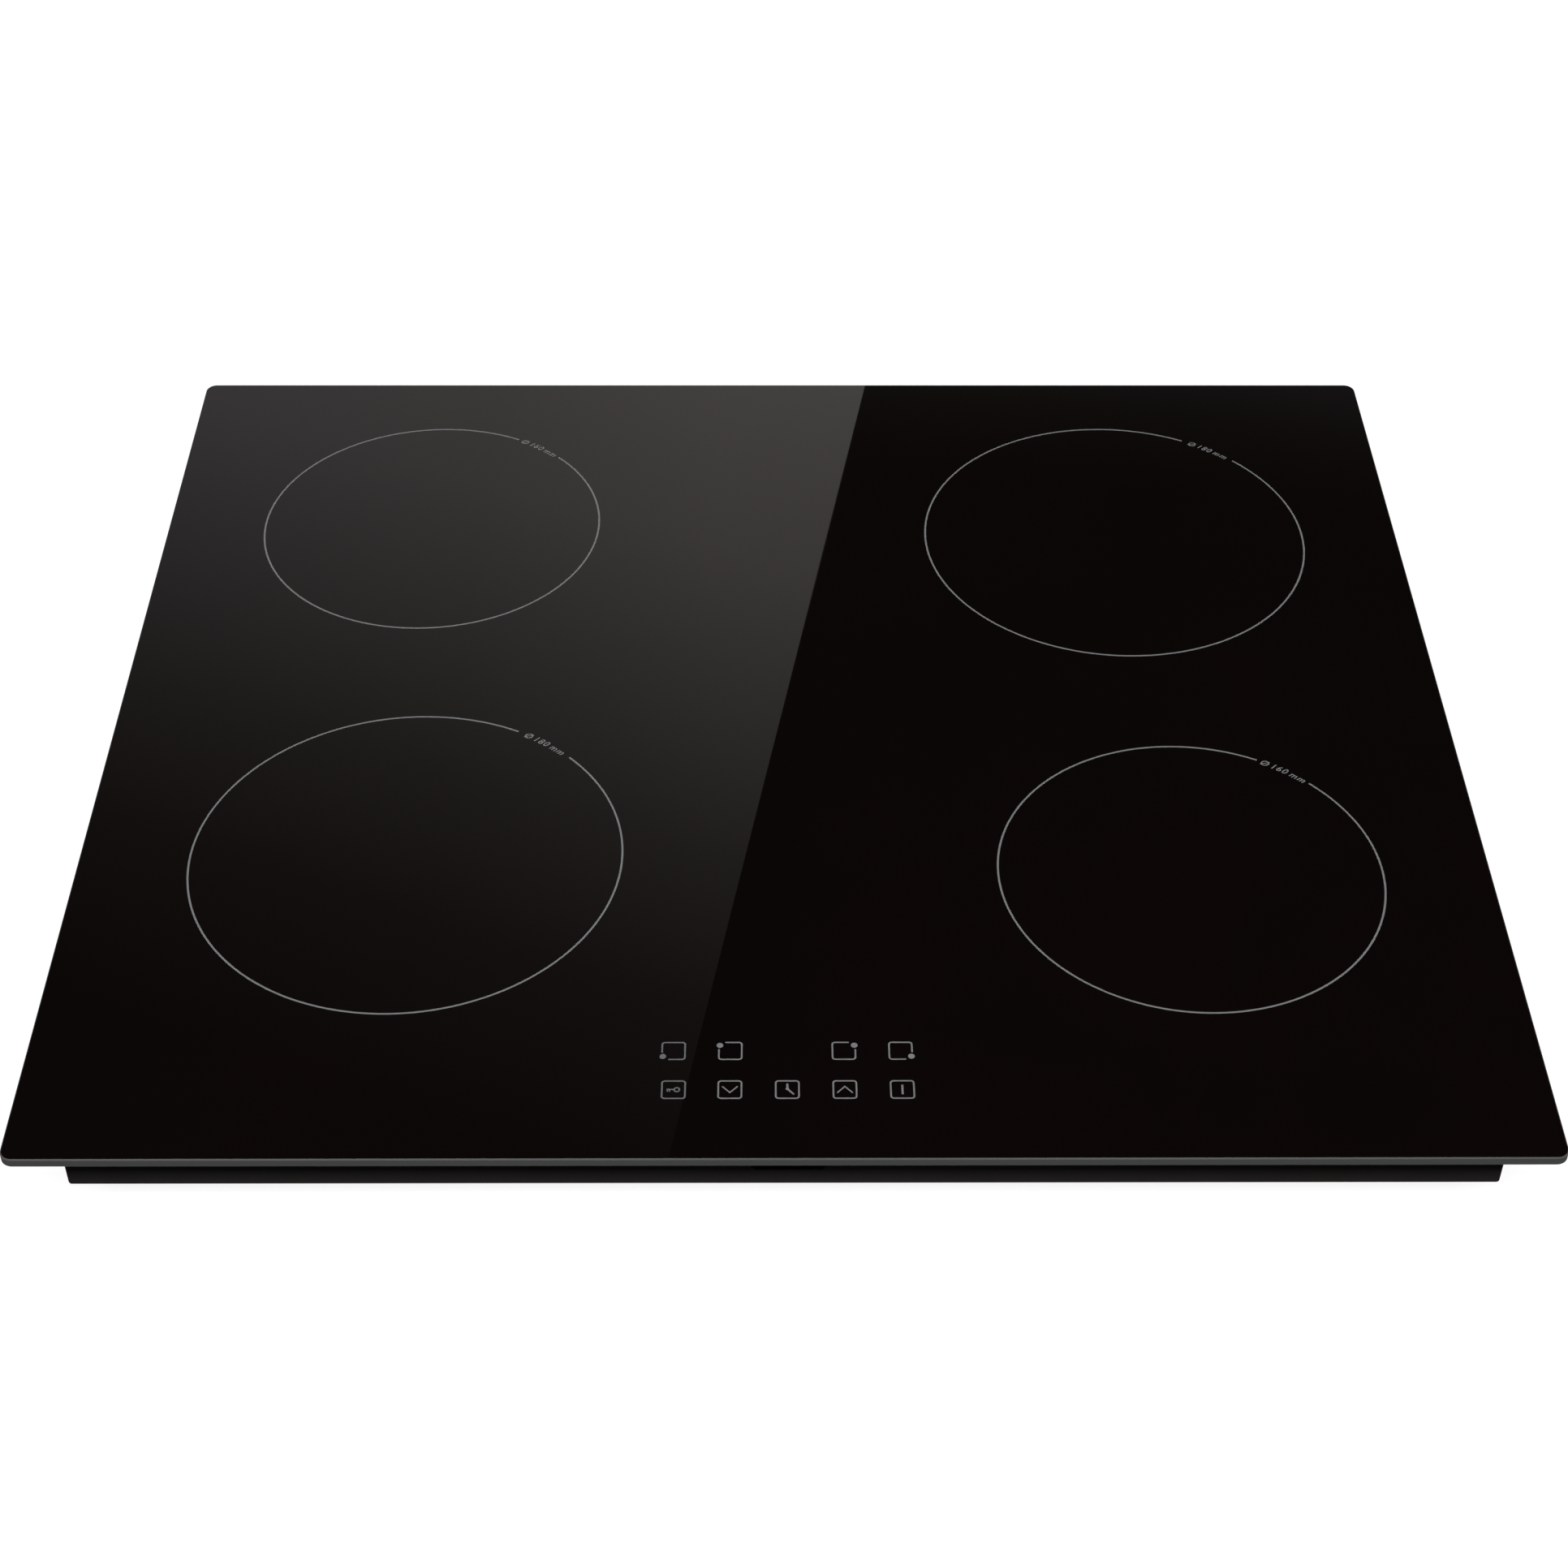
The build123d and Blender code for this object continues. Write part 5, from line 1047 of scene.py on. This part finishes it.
def add_camera():
    forward = Vector((
        sin(CAMERA_YAW) * cos(CAMERA_PITCH),
        cos(CAMERA_YAW) * cos(CAMERA_PITCH),
        -sin(CAMERA_PITCH),
    ))
    level = Vector((cos(CAMERA_YAW), -sin(CAMERA_YAW), 0))
    drop = forward.cross(level)
    right = cos(CAMERA_ROLL) * level + sin(CAMERA_ROLL) * drop
    down = -sin(CAMERA_ROLL) * level + cos(CAMERA_ROLL) * drop
    data = bpy.data.cameras.new("camera")
    data.sensor_width = SENSOR
    data.lens = FOCAL_PIXELS * SENSOR / PHOTO_PIXELS
    data.clip_start = 0.02
    data.clip_end = 60
    camera = bpy.data.objects.new("camera", data)
    turn = Matrix((right, -down, -forward)).transposed()
    camera.matrix_world = Matrix.Translation(CAMERA_PLACE) @ turn.to_4x4()
    SCENE.collection.objects.link(camera)
    SCENE.camera = camera


def add_floor():
    """A plain white floor that also glows a little. It is clear from below, to show the underside."""
    half, low = FLOOR_HALF, FLOOR_LEVEL
    mesh = bpy.data.meshes.new("floor")
    corners = [(-half, -half, low), (half, -half, low), (half, half, low), (-half, half, low)]
    mesh.from_pydata(corners, [], [(0, 1, 2, 3)])
    look = Look("floor_white", Roughness=0.9, Specular_IOR_Level=0.0, Emission_Strength=FLOOR_GLOW)
    look.give("Base Color", look.ramp(look.noise(900, 2.0), *FLOOR_TONES))
    look.shader.inputs["Emission Color"].default_value = (1.0, 1.0, 1.0, 1.0)
    behind = look.add("ShaderNodeNewGeometry").outputs["Backfacing"]
    look.give("Alpha", look.math("SUBTRACT", 1.0, behind))
    mesh.materials.append(look.material)
    floor = bpy.data.objects.new("floor", mesh)
    only_seen(floor)


def add_backdrop():
    """A pale wall all round, far away, that fades upwards. Like the floor it is seen but lights nothing."""
    radius, height, sides = BACKDROP_RADIUS, BACKDROP_HEIGHT, BACKDROP_SIDES
    mesh = bpy.data.meshes.new("backdrop")
    turns = [2 * pi * i / sides for i in range(sides)]
    corners = [(radius * cos(a), radius * sin(a), z) for z in (FLOOR_LEVEL, height) for a in turns]
    faces = [(i, i + sides, (i + 1) % sides + sides, (i + 1) % sides) for i in range(sides)]
    mesh.from_pydata(corners, [], faces)
    look = Look("backdrop_white", Roughness=0.9, Specular_IOR_Level=0.0, Emission_Strength=1.0)
    look.shader.inputs["Base Color"].default_value = (0.0, 0.0, 0.0, 1.0)
    rise = look.span(look.along("Z"), BACKDROP_FADE_START, height)
    look.give("Emission Color", look.ramp(rise, *BACKDROP_TONES))
    mesh.materials.append(look.material)
    backdrop = bpy.data.objects.new("backdrop", mesh)
    only_seen(backdrop)


def only_seen(thing):
    """Adds a stage piece that is seen but gives no light and no shadow."""
    thing.visible_diffuse = False
    thing.visible_glossy = False
    thing.visible_shadow = False
    SCENE.collection.objects.link(thing)


def add_world():
    """A dim studio, a little paler round the horizon and dark overhead."""
    world = bpy.data.worlds.new("studio")
    SCENE.world = world
    world.use_nodes = True
    tree = world.node_tree
    background = tree.nodes["Background"]
    direction = tree.nodes.new("ShaderNodeTexCoord")
    split = tree.nodes.new("ShaderNodeSeparateXYZ")
    ramp = tree.nodes.new("ShaderNodeValToRGB")
    height = tree.nodes.new("ShaderNodeMapRange")
    height.inputs["From Min"].default_value = -1.0
    tree.links.new(direction.outputs["Generated"], split.inputs["Vector"])
    tree.links.new(split.outputs["Z"], height.inputs["Value"])
    tree.links.new(height.outputs["Result"], ramp.inputs["Fac"])
    tree.links.new(ramp.outputs["Color"], background.inputs["Color"])
    elements = ramp.color_ramp.elements
    while len(elements) < len(STUDIO_TONES):
        elements.new(0.5)
    for element, (up, tone) in zip(elements, STUDIO_TONES):
        element.position = (1 + up) / 2
        element.color = (tone, tone, tone, 1.0)


def add_light(name, place, target, size, power, glossy):
    data = bpy.data.lights.new(name, "AREA")
    data.shape = "RECTANGLE"
    data.size, data.size_y = size
    data.energy = power
    light = bpy.data.objects.new(name, data)
    light.location = place
    light.rotation_euler = (Vector(target) - Vector(place)).to_track_quat("-Z", "Y").to_euler()
    light.visible_camera = False
    light.visible_glossy = glossy
    SCENE.collection.objects.link(light)


def seen_in_glass(x, y):
    """Point on the ceiling panel that the camera sees mirrored at a point of the glass, in metres."""
    reach = 1 + PANEL_HEIGHT / (CAMERA_PLACE.z - GLASS_TOP * MM)
    return (
        CAMERA_PLACE.x + reach * (x * MM - CAMERA_PLACE.x),
        CAMERA_PLACE.y + reach * (y * MM - CAMERA_PLACE.y),
        GLASS_TOP * MM + PANEL_HEIGHT,
    )


def add_panel():
    """A soft light panel high behind the object, brighter at its far end, mirrored in the glass."""
    mesh = bpy.data.meshes.new("light_panel")
    mesh.from_pydata([seen_in_glass(x, y) for x, y in PANEL_CORNERS], [], [(0, 1, 2, 3)])
    look = Look("panel_light", Roughness=1.0, Specular_IOR_Level=0.0)
    look.shader.inputs["Base Color"].default_value = (0.0, 0.0, 0.0, 1.0)
    reach = 1 + PANEL_HEIGHT / (CAMERA_PLACE.z - GLASS_TOP * MM)
    falling = (PANEL_SLANT / reach, 1 / reach, 0)
    slope = look.vector("DOT_PRODUCT", look.place(), falling, "Value")
    start = (CAMERA_PLACE.y + PANEL_SLANT * CAMERA_PLACE.x) * (1 - 1 / reach)
    run = look.span(look.math("ADD", slope, start), *PANEL_RUN)
    stops = [(place, tuple(tone * w for w in PANEL_WARMTH)) for place, tone in PANEL_TONES]
    dim_end = CAMERA_PLACE.x + reach * (PANEL_DIM_SIDE - CAMERA_PLACE.x)
    dim = look.ramp(look.span(look.along("X"), dim_end, 0.0), *PANEL_DIMMING)
    look.give("Emission Color", look.mix(1.0, look.ramp(run, *stops), dim, "MULTIPLY"))
    look.shader.inputs["Emission Strength"].default_value = PANEL_STRENGTH
    mesh.materials.append(look.material)
    panel = bpy.data.objects.new("light_panel", mesh)
    panel.visible_camera = False
    panel.visible_shadow = False
    SCENE.collection.objects.link(panel)


def add_studio():
    add_camera()
    add_floor()
    add_backdrop()
    add_world()
    add_panel()
    for light in LIGHTS:
        add_light(*light)
    SCENE.view_settings.view_transform = "Standard"


slot_materials = build_materials()
dress(slot_materials)
add_pieces(slot_materials)
add_studio()
